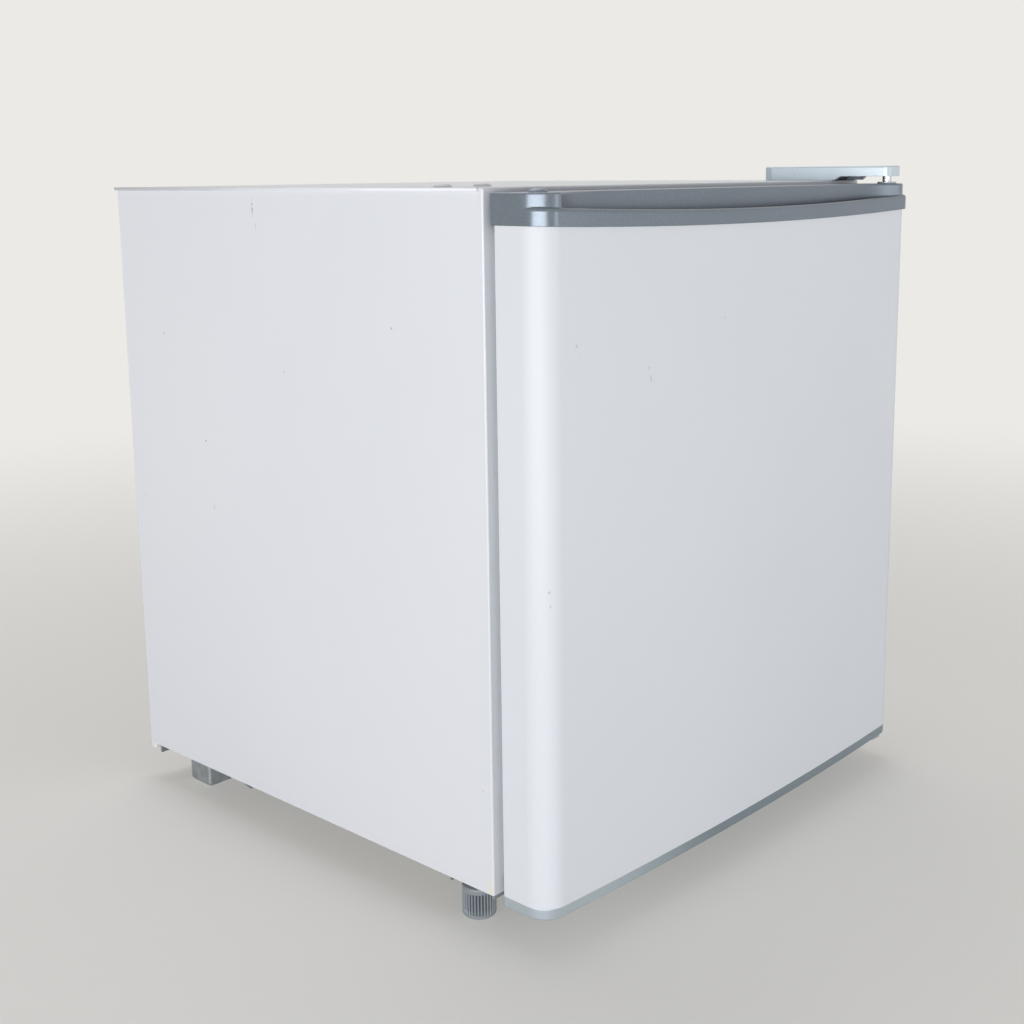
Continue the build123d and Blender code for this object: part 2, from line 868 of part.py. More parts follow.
def relay_cover():
    """A moulded box over the start relay and its terminals."""
    x, y, z = relay_middle()
    wide, tall, wall = relay_half_width, relay_half_height, relay_wall
    outer = block(x, x + relay_depth, y - wide, y + wide, z - tall, z + tall)
    outer = fillet(outer.edges().filter_by(Axis.X), relay_round)
    outer = fillet(outer.faces().sort_by(Axis.X)[-1].edges(), relay_round / 2)
    inner = block(
        x, x + relay_depth - wall, y - wide + wall, y + wide - wall, z - tall + wall, z + tall - wall
    )
    body = outer - inner + cylinder_x(y, z, x, x + relay_depth - wall / 2, relay_post)
    slot = block(
        x + relay_depth / 3, x + relay_depth * 3 / 4, y - relay_slot_width / 2, y + relay_slot_width / 2,
        z + tall - wall, z + tall,
    )
    for step in relay_slots:
        body = body - Pos(0, step) * slot
    return body - relay_screw() - cord_gland_hole()


def gland_middle():
    x, y, z = relay_middle()
    return x + gland_reach, y + relay_half_width, z - gland_drop


def cord_gland_hole():
    x, y, z = gland_middle()
    return cylinder_y(x, z, y - 2 * relay_wall, y + relay_wall, gland_neck)


def cord_gland():
    """The rubber inlet bush for a mains lead, in the relay cover's rear wall."""
    lip = gland_flange - gland_neck
    section = outline([
        (gland_bore, -relay_wall - lip), (gland_flange, -relay_wall - lip, 1), (gland_flange, -relay_wall),
        (gland_neck, -relay_wall), (gland_neck, 0), (gland_flange, 0),
        (gland_flange - 1, 2 * gland_neck, 1),
        (gland_bore, 2 * gland_neck),
    ])
    return Pos(*gland_middle()) * revolve(section, axis=Axis.Y)


def compressor_grommets():
    neck, head = grommet_radius * grommet_neck, grommet_radius * grommet_head
    over = grommet_seat + foot_plate + 2 * grommet_play
    bore = bolt_radius + 2 * grommet_play
    section = outline([
        (bore, 0), (grommet_radius, 0, 1.5), (grommet_radius, grommet_seat), (neck, grommet_seat),
        (neck, over), (head, over), (head, grommet_height, 1), (bore, grommet_height),
    ])
    one = revolve(Plane.XZ * section, axis=Axis.Z)
    return Compound([Pos(x, y, cabinet_bottom) * one for x, y in grommet_places()])


def compressor_bolts():
    top = cabinet_bottom + grommet_height
    under = cabinet_bottom - tray_metal
    hexagon = RegularPolygon(bolt_head_radius, 6)
    bolt = prism_z(hexagon, top + washer, top + washer + bolt_head)
    bolt = bolt + cylinder(0, 0, top, top + washer, washer_radius)
    bolt = bolt + cylinder(0, 0, under - 1.5 * bolt_head, top + washer / 2, bolt_radius)
    bolt = bolt + prism_z(hexagon, under - bolt_head, under)
    return Compound([Pos(x, y) * bolt for x, y in grommet_places()])


def compressor_tray():
    """The galvanised plate: front lip, rear lip, pressed feet that reach the floor."""
    top = cabinet_bottom
    front, rear = y_at(tray_front), y_at(tray_rear)
    inside = half - tray_side_gap
    path = [(front, top - tray_lip), (front, top), (rear, top), (rear, top - tray_rear_lip)]
    section = bent(path, -tray_metal, tray_bend)
    body = prism_x(section, -inside, inside)
    cut, low = tray_chamfer, top - tray_lip
    corner = outline([(inside, low + cut), (inside, low), (inside - cut, low)])
    body = body - both(prism_y(corner, front, front + tray_metal))
    opening = block(*rear_foot_limits(tray_metal), top - tray_metal, top)
    body = (body - both(opening)) + both(rear_foot())
    for x, y in grommet_places():
        body = body - cylinder(x, y, top - tray_metal, top, bolt_radius + grommet_play)
    return body


def rear_foot_limits(inset):
    x1 = half - rear_foot_inset
    y0 = y_at(rear_foot_front)
    return (
        x1 - rear_foot_width + inset, x1 - inset, y0 + inset, y0 + rear_foot_length - inset
    )


def rear_foot():
    """A pressed cup, narrower at its heel."""
    def cup(inset, low, high):
        x0, x1, y0, y1 = rear_foot_limits(inset)
        t, r = rear_foot_taper, rear_foot_round
        small = rounded_rectangle(x0 + t, x1 - t, y0 + t, y1 - t, r)
        full = rounded_rectangle(x0, x1, y0, y1, r)
        lower, middle = Pos(0, 0, low) * small, Pos(0, 0, low + rear_foot_heel) * full
        return loft([lower, middle], ruled=True) + prism_z(full, low + rear_foot_heel, high)
    return cup(0, 0, cabinet_bottom - tray_metal / 2) - cup(tray_metal, tray_metal, cabinet_bottom)


def rear_corner_blocks():
    """White plastic corner pieces under the rear edge of the side panels."""
    rear = y_at(cabinet_depth) - screw_play
    side = half - screw_play
    inner, front = half - corner_block_width, rear - corner_block_depth
    piece = block(inner, side, front, rear, cabinet_bottom - corner_block_height, cabinet_bottom)
    return both(fillet(piece.edges().filter_by(Axis.Z), corner_block_round))


# ---- feet and front rail ----
def front_bottom_rail():
    """A folded rail under the cabinet's front that carries the feet and the lower hinge."""
    x = half - rail_inset
    y0 = y_at(rail_front)
    y1 = y0 + rail_depth
    high, low = cabinet_bottom, cabinet_bottom - rail_drop
    body = prism_x(bent([(y0, low), (y0, high), (y1, high), (y1, low)], -rail_metal, rail_bend), -x, x)
    notch = half - bracket_width - tray_side_gap
    body = body - block(notch, half, y0, y0 + 2 * rail_metal, low, high - rail_metal)
    body = body - both(cylinder(foot_x, foot_y, high - rail_metal, high, stem_radius + stem_room / 2))
    for px, py in lower_screw_places():
        body = body - cylinder(px, py, high - rail_metal, high, screw_radius + screw_play)
    return body


def foot_nuts():
    top = cabinet_bottom - rail_metal
    nut = prism_z(RegularPolygon(nut_radius, 6), top - nut_height, top)
    nut = nut - cylinder(0, 0, top - nut_height, top, stem_radius + stem_clearance)
    return both(Pos(foot_x, foot_y) * nut)


def levelling_foot(side):
    """A ribbed plastic foot with a threaded stem."""
    collar = foot_height - foot_collar
    body = cylinder(0, 0, 0, foot_height, foot_radius - rib_depth)
    body = body + cylinder(0, 0, collar, foot_height, foot_radius)
    rim = Cylinder(foot_radius, foot_rim)
    rim = chamfer(rim.edges().group_by(Axis.Z)[0], foot_rim * 0.4)
    body = body + Pos(0, 0, foot_rim / 2) * rim
    wide = pi * foot_radius / rib_count / 2
    root = foot_radius - 2 * rib_depth
    rib = block(root, foot_radius - 0.05, -wide, wide, foot_rim - 0.1, collar + 0.1)
    ribs = [Rot(0, 0, 360 / rib_count * i) * rib for i in range(rib_count)]
    body = body.fuse(*ribs)
    body = body + cylinder(0, 0, collar, foot_height + stem_length, stem_radius)
    body = body - cylinder(0, 0, 0, foot_hollow, foot_radius * foot_hollow_share)
    return Pos(side * foot_x, foot_y) * body


# ---- hinges ----
def lower_screw_places():
    return [(half - x, y_at(y)) for x, y in lower_screws]


def upper_hinge_plate():
    """A cranked steel plate: seat on the cabinet, arm over the door."""
    right = half - plate_side
    left = right - plate_width
    tip = hinge_y - plate_tip
    waist = y_at(plate_end - plate_side)
    plan = outline([
        (right, tip, 6), (2 * hinge_x - right, tip, 6), (hinge_x - 4 * plate_tip, y_at(0)),
        (left, waist, 3), (left, y_at(plate_end), 2), (right, y_at(plate_end), 4),
    ])
    low, high = cabinet_top, arm_z + plate
    section = bent([
        (y_at(plate_end + 1), low), (y_at(crank_rear), low), (y_at(crank_front), arm_z), (tip - 1, arm_z),
    ], -plate, 0.6)
    body = prism_z(plan, low, high) & prism_x(section, left, half)
    for x, y in hinge_screw_places():
        body = body - cylinder(x, y, low, high, screw_radius + screw_play)
    return body - cylinder(hinge_x, hinge_y, low, high, pin_radius)


def upper_hinge_pin():
    top = arm_z + plate
    pin = cylinder(hinge_x, hinge_y, door_top + bush_flange - pin_depth, top, pin_radius)
    pin = chamfer(pin.edges().group_by(Axis.Z)[0], pin_tip)
    head = cylinder(hinge_x, hinge_y, top, top + pin_head, pin_radius + pin_head)
    return pin + fillet(head.edges().group_by(Axis.Z)[-1], pin_head / 2)


def screw(x, y, z, length, down):
    """A pan head screw with a cross slot, its head's seat at z."""
    head = cylinder(0, 0, 0, screw_head, screw_head_radius)
    head = fillet(head.edges().group_by(Axis.Z)[-1], screw_head * 0.45)
    reach, slot = screw_head_radius * 0.75, screw_slot / 2
    for wide, deep in ((reach, slot), (slot, reach)):
        head = head - block(-wide, wide, -deep, deep, screw_head - screw_slot, screw_head)
    stem = cylinder(0, 0, -length, 0, screw_radius)
    body = head + chamfer(stem.edges().group_by(Axis.Z)[0], screw_radius / 3)
    turn = Rot(0, 0, 20) if down else Rot(180, 0, 20)
    return Pos(x, y, z) * turn * body


def upper_hinge_screws():
    return Compound([screw(x, y, cabinet_top + plate, screw_length, True) for x, y in hinge_screw_places()])


def cover_plan(inset):
    """The cover from above: straight along the side, slanted towards the door's middle."""
    right = half - cover_side - inset
    left = half - cover_side - cover_width
    tip = hinge_y - cover_front + inset
    end = y_at(cover_end) - inset
    nose = 2 * hinge_x - half + inset
    return outline([
        (right, tip, 7 - inset), (nose, tip, 6 - inset), (left + inset, y_at(cover_end * 0.88), 5 - inset),
        (left + cover_side + inset, end, 5 - inset), (right, end, 4 - inset),
    ])


def upper_hinge_cover():
    """A thin moulded cover with posts, open below, its skirt cut away over the door."""
    outer = prism_z(cover_plan(0), cabinet_top, cover_top)
    outer = fillet(outer.edges().group_by(Axis.Z)[-1], cover_round)
    body = outer - prism_z(cover_plan(cover_wall), cabinet_top, cover_top - cover_wall)
    lift = cabinet_top + cover_lift
    far, turn_x = y_at(-2 * hinge_reach), hinge_x - cover_width / 2
    notch = outline([
        (far, cabinet_top), (y_at(cover_lift * -0.6), cabinet_top), (y_at(cover_lift * -1.8), lift),
        (far, lift),
    ])
    under = prism_x(notch, half - 2 * cover_width, half + cover_width)
    under = Pos(turn_x, front_y) * Rot(0, 0, -cover_turn) * Pos(-turn_x, -front_y) * under
    for x, y in hinge_screw_places():
        post_low = cabinet_top + plate + screw_head + flange_play
        body = body + cylinder(x, y, post_low, cover_top - cover_wall, screw_head_radius * 0.8)
    return body - under


def lower_hinge_bracket():
    """A cranked steel bracket under the rail; its arm carries the door."""
    left, right = half - bracket_width, half - cover_side
    neck = half - bracket_width * 0.4
    tip = hinge_y - bracket_tip
    crank = (plate + lower_arm_gap) / 2
    plan = outline([
        (left, y_at(bracket_tip), 4), (left, y_at(bracket_end), 4), (neck, y_at(bracket_end), 4),
        (neck, y_at(2 * crank)), (right, y_at(-door_gap)), (right, tip, 7),
        (right - bracket_arm + 6, tip, 7),
        (right - 2 * bracket_arm, y_at(crank)),
    ])
    section = bent([
        (y_at(bracket_end + 1), lower_seat), (y_at(crank / 2), lower_seat), (y_at(-1.5 * crank), lower_arm),
        (tip - 1, lower_arm),
    ], plate, 0.6)
    low, high = lower_arm - plate, lower_seat + plate
    body = prism_z(plan, low, high) & prism_x(section, left - 1, half)
    for x, y in lower_screw_places():
        body = body - cylinder(x, y, low, high, screw_radius + screw_play)
    return body - cylinder(hinge_x, hinge_y, low, high, pin_radius)


def lower_hinge_pin():
    under = lower_arm - plate
    pin = cylinder(hinge_x, hinge_y, under - pin_head, door_bottom - bush_flange + pin_depth, pin_radius)
    pin = chamfer(pin.edges().group_by(Axis.Z)[-1], pin_tip)
    return pin + cylinder(hinge_x, hinge_y, under - pin_head, under, pin_radius + pin_head)


def lower_hinge_screws():
    return Compound([screw(x, y, lower_seat - plate, screw_length, False) for x, y in lower_screw_places()])


def hinge_bushes():
    """Nylon bushes for the two pins, flanges outward."""
    flange = cylinder(0, 0, 0, bush_flange, bush_flange_radius)
    bush = flange + cylinder(0, 0, -bush_length, 0, bush_radius)
    bush = bush - cylinder(0, 0, -bush_length + 1, bush_flange, pin_bore)
    upper = Pos(hinge_x, hinge_y, door_top) * bush
    return Compound([upper, Pos(hinge_x, hinge_y, door_bottom) * Rot(180, 0, 0) * bush])


def top_hole_plugs():
    """Press-in plugs in the screw holes of the side that has no hinge."""
    section = outline([
        (0, -plug_stem), (screw_radius, -plug_stem), (screw_radius, 0), (plug_radius, 0),
        (plug_radius, plug_height * 0.3), (plug_radius * 0.76, plug_height, 1.0), (0, plug_height),
    ])
    cap = revolve(Plane.XZ * section, axis=Axis.Z)
    return Compound([Pos(-x, y, cabinet_top) * cap for x, y in hinge_screw_places()])


# ---- freezer box ----
def evaporator_limits():
    """Left, right, lower and upper faces of the freezer box."""
    left = -inner_half + evaporator_left
    high = ceiling_z - evaporator_drop
    return left, left + evaporator_width, high - evaporator_height, high


def hanger_places():
    x0, x1, _, _ = evaporator_limits()
    return [(x, y_at(y)) for x in (x0 + hanger_inset, x1 - hanger_inset)
            for y in (evaporator_front + hanger_ends, evaporator_rear - hanger_ends)]


def evaporator():
    """A folded roll-bond sheet, open at the front."""
    x0, x1, z0, z1 = evaporator_limits()
    t, r = evaporator_sheet, evaporator_round
    y0, y1 = y_at(evaporator_front), y_at(evaporator_rear)
    outer = prism_y(rounded_rectangle(x0, x1, z0, z1, r), y0, y1)
    inner = prism_y(rounded_rectangle(x0 + t, x1 - t, z0 + t, z1 - t, r - t), y0, y1 - t)
    body = outer - inner
    for x, y in hanger_places():
        body = body - cylinder(x, y, z1 - t, z1, screw_radius)
    return body - pipe(suction_route(), tube_radius) - pipe(capillary_route(), thin_tube_radius)


def evaporator_hangers():
    """Plastic spacers between the freezer box and the ceiling, with their screws."""
    _, _, _, z1 = evaporator_limits()
    ring = cylinder(0, 0, z1, ceiling_z, hanger_radius) - cylinder(0, 0, z1, ceiling_z, screw_radius)
    return Compound([Pos(x, y) * ring for x, y in hanger_places()])


def evaporator_screws():
    _, _, _, z1 = evaporator_limits()
    return Compound([screw(x, y, z1 - evaporator_sheet, hanger_screw, False) for x, y in hanger_places()])


def freezer_frame():
    """The plastic surround in which the flap hangs."""
    x0, x1, z0, z1 = evaporator_limits()
    y1 = y_at(evaporator_front) + frame_lap
    y0 = y1 - frame_depth
    over, within = frame_over, frame_over - frame_wall
    outer = rounded_rectangle(x0 - over, x1 + over, z0 - over, z1 + over, evaporator_round)
    inner = rounded_rectangle(x0 - within, x1 + within, z0 - within, z1 + within, frame_round)
    seat = rounded_rectangle(x0, x1, z0, z1, evaporator_round)
    body = prism_y(outer - inner, y0, y1) - prism_y(seat, y_at(evaporator_front), y1)
    y, z = flap_axis()
    return body - cylinder_x(y, z, x0 - over, x1 + over, flap_pin_radius + pin_clearance)


def flap_axis():
    _, _, _, z1 = evaporator_limits()
    front = y_at(evaporator_front) + frame_lap - frame_depth
    return front + flap_pivot_back, z1 + frame_over - frame_wall - flap_pivot_drop


def flap_limits():
    x0, x1, z0, z1 = evaporator_limits()
    inset = frame_wall - frame_over + flap_gap
    return x0 + inset, x1 - inset, z0 + inset, z1 - inset


def freezer_flap():
    """A thin flap hung on two pins at its upper corners, with a finger lip below."""
    x0, x1, z0, z1 = flap_limits()
    y, z = flap_axis()
    top = z + flap_top
    front = y - flap_thickness / 2
    w = flap_rim_wall
    face = rounded_rectangle(x0, x1, z0, top, 3)
    rim = face - rounded_rectangle(x0 + w, x1 - w, z0 + w, top - 3 * w, 2)
    rim = prism_y(rim, y, y + flap_rim) - block(x0, x1, y, y + flap_rim, z - 2 * w, top)
    middle = (x0 + x1) / 2
    grip = outline([(0, 0), (-flap_grip, 2.5, 1.2), (-flap_grip, 5, 1.2), (0, 7)])
    lip = prism_x(Pos(front, z0 + w) * grip, middle - flap_grip_half, middle + flap_grip_half)
    reach = 2 * flap_rim_wall
    pins = cylinder_x(y, z, x0 - reach, x0 + 1, flap_pin_radius) + cylinder_x(
        y, z, x1 - 1, x1 + reach, flap_pin_radius)
    return prism_y(face, front, front + flap_thickness) + rim + lip + pins


def rail_limits():
    """Freezer box sides and floor, and the ledge that the drip tray's rims slide on."""
    x0, x1, z0, _ = evaporator_limits()
    return x0, x1, z0, z0 - frame_over - rail_drop_gap - rim_thick


def drip_tray_rails():
    """Two plastic angles under the freezer box that carry the drip tray."""
    x0, x1, z0, ledge = rail_limits()
    y0, y1 = y_at(evaporator_front) + frame_lap + slide_gap, y_at(evaporator_rear)
    t = rail_thick
    section = outline([
        (x0 - t, z0 + rail_height), (x0, z0 + rail_height), (x0, ledge), (x0 + rail_ledge, ledge),
        (x0 + rail_ledge, ledge - t), (x0 - t, ledge - t),
    ])
    left = prism_y(section, y0, y1)
    return left + mirror(left, about=Plane.YZ.offset((x0 + x1) / 2))


def drip_tray():
    """A shallow tray with side rims and a pull along its front."""
    x0, x1, _, ledge = rail_limits()
    middle = (x0 + x1) / 2
    inset = rail_ledge + 2 * slide_gap
    top = ledge + slide_gap + rim_thick
    y0, y1 = y_at(drip_front), y_at(evaporator_rear) - rail_ledge
    def bowl(w, high):
        shape = block(x0 + inset + w, x1 - inset - w, y0 + w, y1 - w, top - drip_height + w, high)
        shape = fillet(shape.edges().filter_by(Axis.Z), drip_round - w)
        return fillet(shape.edges().group_by(Axis.Z)[0], drip_floor_round - w / 2)
    wing = inset - rim_width
    rims = block(x0 + wing, x1 - wing, y_at(evaporator_front) + frame_lap + 2, y1, top - rim_thick, top)
    lip = rail_thick
    far = y0 - drip_grip_reach
    grip = outline([
        (y0 + lip, top), (y0 + lip, top - rim_thick), (far + lip, top - rim_thick),
        (far + lip, top - 3 * lip),
        (far, top - 3 * lip), (far, top, 1.5),
    ])
    pull = prism_x(grip, middle - drip_grip_half, middle + drip_grip_half)
    return bowl(0, top) + rims + pull - bowl(drip_wall, top)


# ---- shelf ----
def shelf():
    """A wire shelf: a bent frame rod with cross wires welded over two bars."""
    x1 = inner_half - shelf_side_gap - rod_radius
    y0, y1 = y_at(shelf_front) + rod_radius, y_at(shelf_rear) - rod_radius
    z = shelf_level + rod_radius
    corners = [(-x1, y0, z), (x1, y0, z), (x1, y1, z), (-x1, y1, z)]
    path = FilletPolyline(*corners, radius=shelf_corner, close=True)
    frame = sweep(Plane(origin=path @ 0, z_dir=path % 0) * Circle(rod_radius), path=path)
    wires = []
    level = z + rod_radius * 0.4
    count = int(2 * x1 / wire_pitch - 1)
    for i in range(count + 1):
        x = (i - count / 2) * wire_pitch
        wires.append(cylinder_y(x, level, y0, y1, wire_radius))
    under = shelf_level + bar_radius + 0.1
    for share in shelf_bars:
        wires.append(cylinder_x(y0 + (y1 - y0) * share, under, -x1, x1, bar_radius))
    return frame.fuse(*wires)


# ---- thermostat ----
def thermostat_limits():
    high = ceiling_z - housing_drop
    return inner_half - housing_width, inner_half - flange_play, high - housing_height, high


def knob_axis():
    x0, x1, z0, z1 = thermostat_limits()
    return (x0 + x1) / 2, (z0 + z1) / 2 - knob_drop


def thermostat_housing():
    x0, x1, z0, z1 = thermostat_limits()
    y0, y1 = y_at(housing_front), y_at(housing_rear)
    w = housing_wall
    def face(inset):
        r = housing_round - inset
        return outline([
            (x0 + inset, z0 + inset, r), (x1, z0 + inset), (x1, z1 - inset, liner_radius - inset),
            (x0 + inset, z1 - inset, r),
        ])
    outer = prism_y(face(0), y0, y1)
    outer = fillet(outer.faces().sort_by(Axis.Y)[0].edges().sort_by(Axis.X)[:-2], 2.5)
    body = outer - prism_y(face(w), y0 + w, y1 - w)
    x, z = knob_axis()
    body = body - cylinder_y(x, z, y0, y0 + w, shaft_radius + 1)
    body = body - cylinder_x(sensing_y(), sensing_z(), x0, x0 + w, sensing_radius + pipe_play)
    for level in vent_levels:
        low = z0 + level
        body = body - block(x0 + vent_inset, x1 - vent_inset, y1 - w, y1, low, low + vent_height)
    return body


def sensing_y():
    return y_at(housing_front + sensing_back)


def bellows_rear():
    return y_at(housing_front) + housing_wall + 1 + switch_depth + bellows_depth


def sensing_z():
    return knob_axis()[1]


def thermostat():
    """The switch body inside the housing; its shaft turns with the knob."""
    x, z = knob_axis()
    y0 = y_at(housing_front) + housing_wall
    wide, tall, deep = switch_half_width, switch_half_height, switch_depth
    body = block(x - wide, x + wide, y0 + 1, y0 + 1 + deep, z - tall, z + tall)
    body = fillet(body.edges().filter_by(Axis.Y), 3)
    body = body + cylinder_y(x, z, y0, y0 + 2, switch_neck)
    body = body + cylinder_y(x, z, y0 + 1 + deep, y0 + 1 + deep + bellows_depth, bellows_radius)
    return body - cylinder_y(x, z, y0, y0 + 1 + shaft_reach, shaft_radius + pin_clearance)


def thermostat_shaft():
    x, z = knob_axis()
    y0 = y_at(housing_front)
    return cylinder_y(x, z, y0 - knob_height + shaft_end, y0 + housing_wall + shaft_reach, shaft_radius)


def thermostat_knob():
    """A dial with a finger bar across its face."""
    x, z = knob_axis()
    rear = y_at(housing_front) - knob_gap
    front = rear - knob_height
    dial = cylinder_y(x, z, rear - dial_thickness, rear, knob_radius)
    dial = fillet(dial.edges().sort_by(Axis.Y)[0], 1.5)
    crown_radius = knob_radius * crown_share
    crown = cylinder_y(x, z, front, rear - dial_thickness / 2, crown_radius)
    slab = block(finger_bar, knob_radius, front, rear - dial_thickness, -knob_radius, knob_radius)
    crown = crown - Pos(x, 0, z) * both(slab)
    crown = fillet(crown.edges().group_by(Axis.Y)[0], 1.2)
    w = pointer_width / 2
    pointer = block(x - w, x + w, front, front + pointer_width, z + dial_thickness, z + crown_radius)
    bore = cylinder_y(x, z, y_at(housing_front) - knob_height + shaft_end, rear, shaft_radius)
    return dial + crown - bore - pointer


def sensing_tube():
    """The thermostat's capillary, from its bellows to the freezer box's side."""
    x, z = knob_axis()
    _, right, _, _ = evaporator_limits()
    wall = right + sensing_radius
    y = sensing_y()
    return tube([
        (x, bellows_rear(), z), (x, y, z), (wall + sensing_slant, y, z), (wall, y + sensing_drop, z),
        (wall, y + sensing_run, z),
    ], sensing_radius, sensing_bend)


def sensing_clamp():
    """A bridge over the sensing tube, flat against the freezer box."""
    _, right, _, _ = evaporator_limits()
    y, z = sensing_y() + clamp_back, sensing_z()
    skin, high = right + sensing_radius, right + clamp_height
    foot, top = sensing_radius * 2.2, sensing_radius * 1.4
    bridge = prism_y(outline([
        (right, z - clamp_half), (right, z + clamp_half), (skin, z + clamp_half), (skin, z + foot),
        (high, z + top),
        (high, z - top), (skin, z - foot), (skin, z - clamp_half),
    ]), y, y + clamp_length)
    return bridge - cylinder_y(skin, z, y, y + clamp_length, sensing_radius + pin_clearance)


# ---- door: plan shapes ----
def door_plan(inset=0.0, rear=None, proud=0.0, corner=door_corner):
    """The door seen from above: flat sides, rounded corners, a bowed front."""
    rear_y = door_back if rear is None else rear
    side = half - inset
    apex = door_front - proud + inset
    radius = bow_radius + proud - inset
    r = max(corner - inset, 1.0)
    centre_y = apex + radius
    corner_y = centre_y - sqrt((radius - r) ** 2 - (side - r) ** 2)
    corner_x = side - r
    ux, uy = corner_x / (radius - r), (corner_y - centre_y) / (radius - r)
    mid = Vector(1 + ux, uy).normalized() * r
    touch_x, touch_y = corner_x + ux * r, corner_y + uy * r
    return make_face([
        Line((-side, rear_y), (side, rear_y)),
        Line((side, rear_y), (side, corner_y)),
        ThreePointArc((side, corner_y), (corner_x + mid.X, corner_y + mid.Y), (touch_x, touch_y)),
        ThreePointArc((touch_x, touch_y), (0, apex), (-touch_x, touch_y)),
        ThreePointArc((-touch_x, touch_y), (-corner_x - mid.X, corner_y + mid.Y), (-side, corner_y)),
        Line((-side, corner_y), (-side, rear_y)),
    ])


def sagging_cut(end_z, dip, low):
    """Everything between a level and a line that dips in the middle of the door."""
    reach = half + 1
    return prism_y(make_face([
        ThreePointArc((-reach, end_z), (0, end_z - dip), (reach, end_z)),
        Line((reach, end_z), (reach, low)), Line((reach, low), (-reach, low)), Line((-reach, low),
        (-reach, end_z)),
    ]), before_door, front_y)


def below_seam():
    return sagging_cut(seam_end, seam_dip, door_bottom)


def door_skin():
    """Painted sheet round the front and the sides, with narrow flanges behind."""
    ring = door_plan() - door_plan(sheet, door_back - sheet)
    back = half - skin_flange
    ring = ring - Pos(0, door_back) * Rectangle(2 * back, 4 * sheet)
    return prism_z(ring, skin_bottom, door_top) & below_seam()


def recess_front(x):
    """Y of the door's plain front at a distance x from the middle."""
    return door_front + bow_radius - sqrt(bow_radius**2 - x**2)


def recess_plan(grow=0.0):
    """The crescent between the lip and the back wall, grown by a wall."""
    wall_y = y_at(-recess_wall) + grow
    end_x = half - boss_end
    sweep_x = half - recess_sweep
    end_y = recess_front(end_x) + grow
    run, rise = end_x - sweep_x, wall_y - end_y
    radius = (run**2 + rise**2) / (2 * rise)
    mid_x = sweep_x + run / 2
    mid_y = wall_y - radius + sqrt(radius**2 - (mid_x - sweep_x) ** 2)
    far = before_door
    end_x = end_x + grow
    return make_face([
        Line((-end_x, far), (-end_x, end_y)), ThreePointArc((-end_x, end_y), (-mid_x, mid_y),
        (-sweep_x, wall_y)),
        Line((-sweep_x, wall_y), (sweep_x, wall_y)), ThreePointArc((sweep_x, wall_y), (mid_x, mid_y),
        (end_x, end_y)),
        Line((end_x, end_y), (end_x, far)), Line((end_x, far), (-end_x, far)),
    ])


def lip_top_end():
    return seam_end + lip_end


def lip_top_dip():
    return seam_dip + lip_end - lip_middle


def door_top_cap():
    """The moulded cap: full height bosses, a rolled lip and the pocket behind it."""
    rear = y_at(-cap_rear_gap)
    low = seam_low - tongue
    fit = sheet + tongue_clearance
    tall = prism_z(door_plan(0, rear) - recess_plan(), low, door_top)
    tall = fillet(tall.edges().group_by(Axis.Z)[-1], cap_round)
    band = prism_z(door_plan(0, rear, lip_proud, lip_corner), low, door_top)
    band = band & sagging_cut(lip_top_end(), lip_top_dip(), low)
    front_top = [e for e in band.faces().sort_by(Axis.Z)[-1].edges() if e.center().Y < y_at(-recess_wall)]
    body = (tall + fillet(front_top, lip_round)) - below_seam()
    reach = prism_z(door_plan(fit, door_back - fit), low, door_top) & below_seam()
    pocket_low = lip_top_end() - lip_top_dip() - recess_depth
    pocket = recess_plan() & door_plan(lip_wall - lip_proud)
    body = body + reach - prism_z(pocket, pocket_low, door_top)
    # hollow from below, leaving the walls round the pocket
    inside = door_plan(cap_wall + sheet, door_back - sheet - cap_wall)
    beside = prism_z(inside - recess_plan(cap_wall), low, door_top - cap_wall)
    under = prism_z(recess_plan(cap_wall) & inside, low, pocket_low - cap_wall)
    skirt = block(-half, half, door_back - fit, rear, low, door_top - cap_rear_height)
    body = body - (beside + under) - skirt
    for x in (hinge_x, -hinge_x):
        boss = cylinder(x, hinge_y, low + boss_wall, door_top - 1, boss_radius())
        body = body + boss - cylinder(x, hinge_y, door_top - bush_length, door_top, bush_radius)
    return body


def cap_hole_plug():
    """A domed plug in the unused hinge hole."""
    r = plug_rim_radius
    section = outline([
        (0, -plug_depth), (bush_radius, -plug_depth), (bush_radius, 0), (r, 0), (r, plug_dome / 6),
        (r * 0.75, plug_dome * 0.85, plug_dome), (0, plug_dome),
    ])
    return Pos(-hinge_x, hinge_y, door_top) * revolve(Plane.XZ * section, axis=Axis.Z)


def door_bottom_cap():
    """The moulded cap under the door, with a rim that reaches into the skin."""
    outer = prism_z(door_plan(), door_bottom, skin_bottom)
    outer = fillet(outer.edges().group_by(Axis.Z)[0], bottom_cap_round)
    fit = sheet + tongue_clearance
    top = skin_bottom + tongue
    rise = prism_z(door_plan(fit, door_back - fit), skin_bottom - 1, top)
    within = fit + cap_wall
    body = outer + rise - prism_z(door_plan(within, door_back - within), door_bottom + cap_wall, top)
    boss = boss_radius()
    for x in (hinge_x, -hinge_x):
        body = body + cylinder(x, hinge_y, door_bottom + 1, door_bottom + bush_length + boss_wall, boss)
    return body - cylinder(hinge_x, hinge_y, door_bottom, door_bottom + bush_length, bush_radius)


def boss_radius():
    return bush_radius + boss_wall


# ---- door: liner, gasket, racks ----
def lower_rack_level():
    return floor_z + dyke_gap + dyke_width + lower_rack_lift


def dyke_limits(grow=0.0):
    x = inner_half - dyke_gap + grow
    return x, floor_z + dyke_gap - grow, ceiling_z - dyke_gap + grow


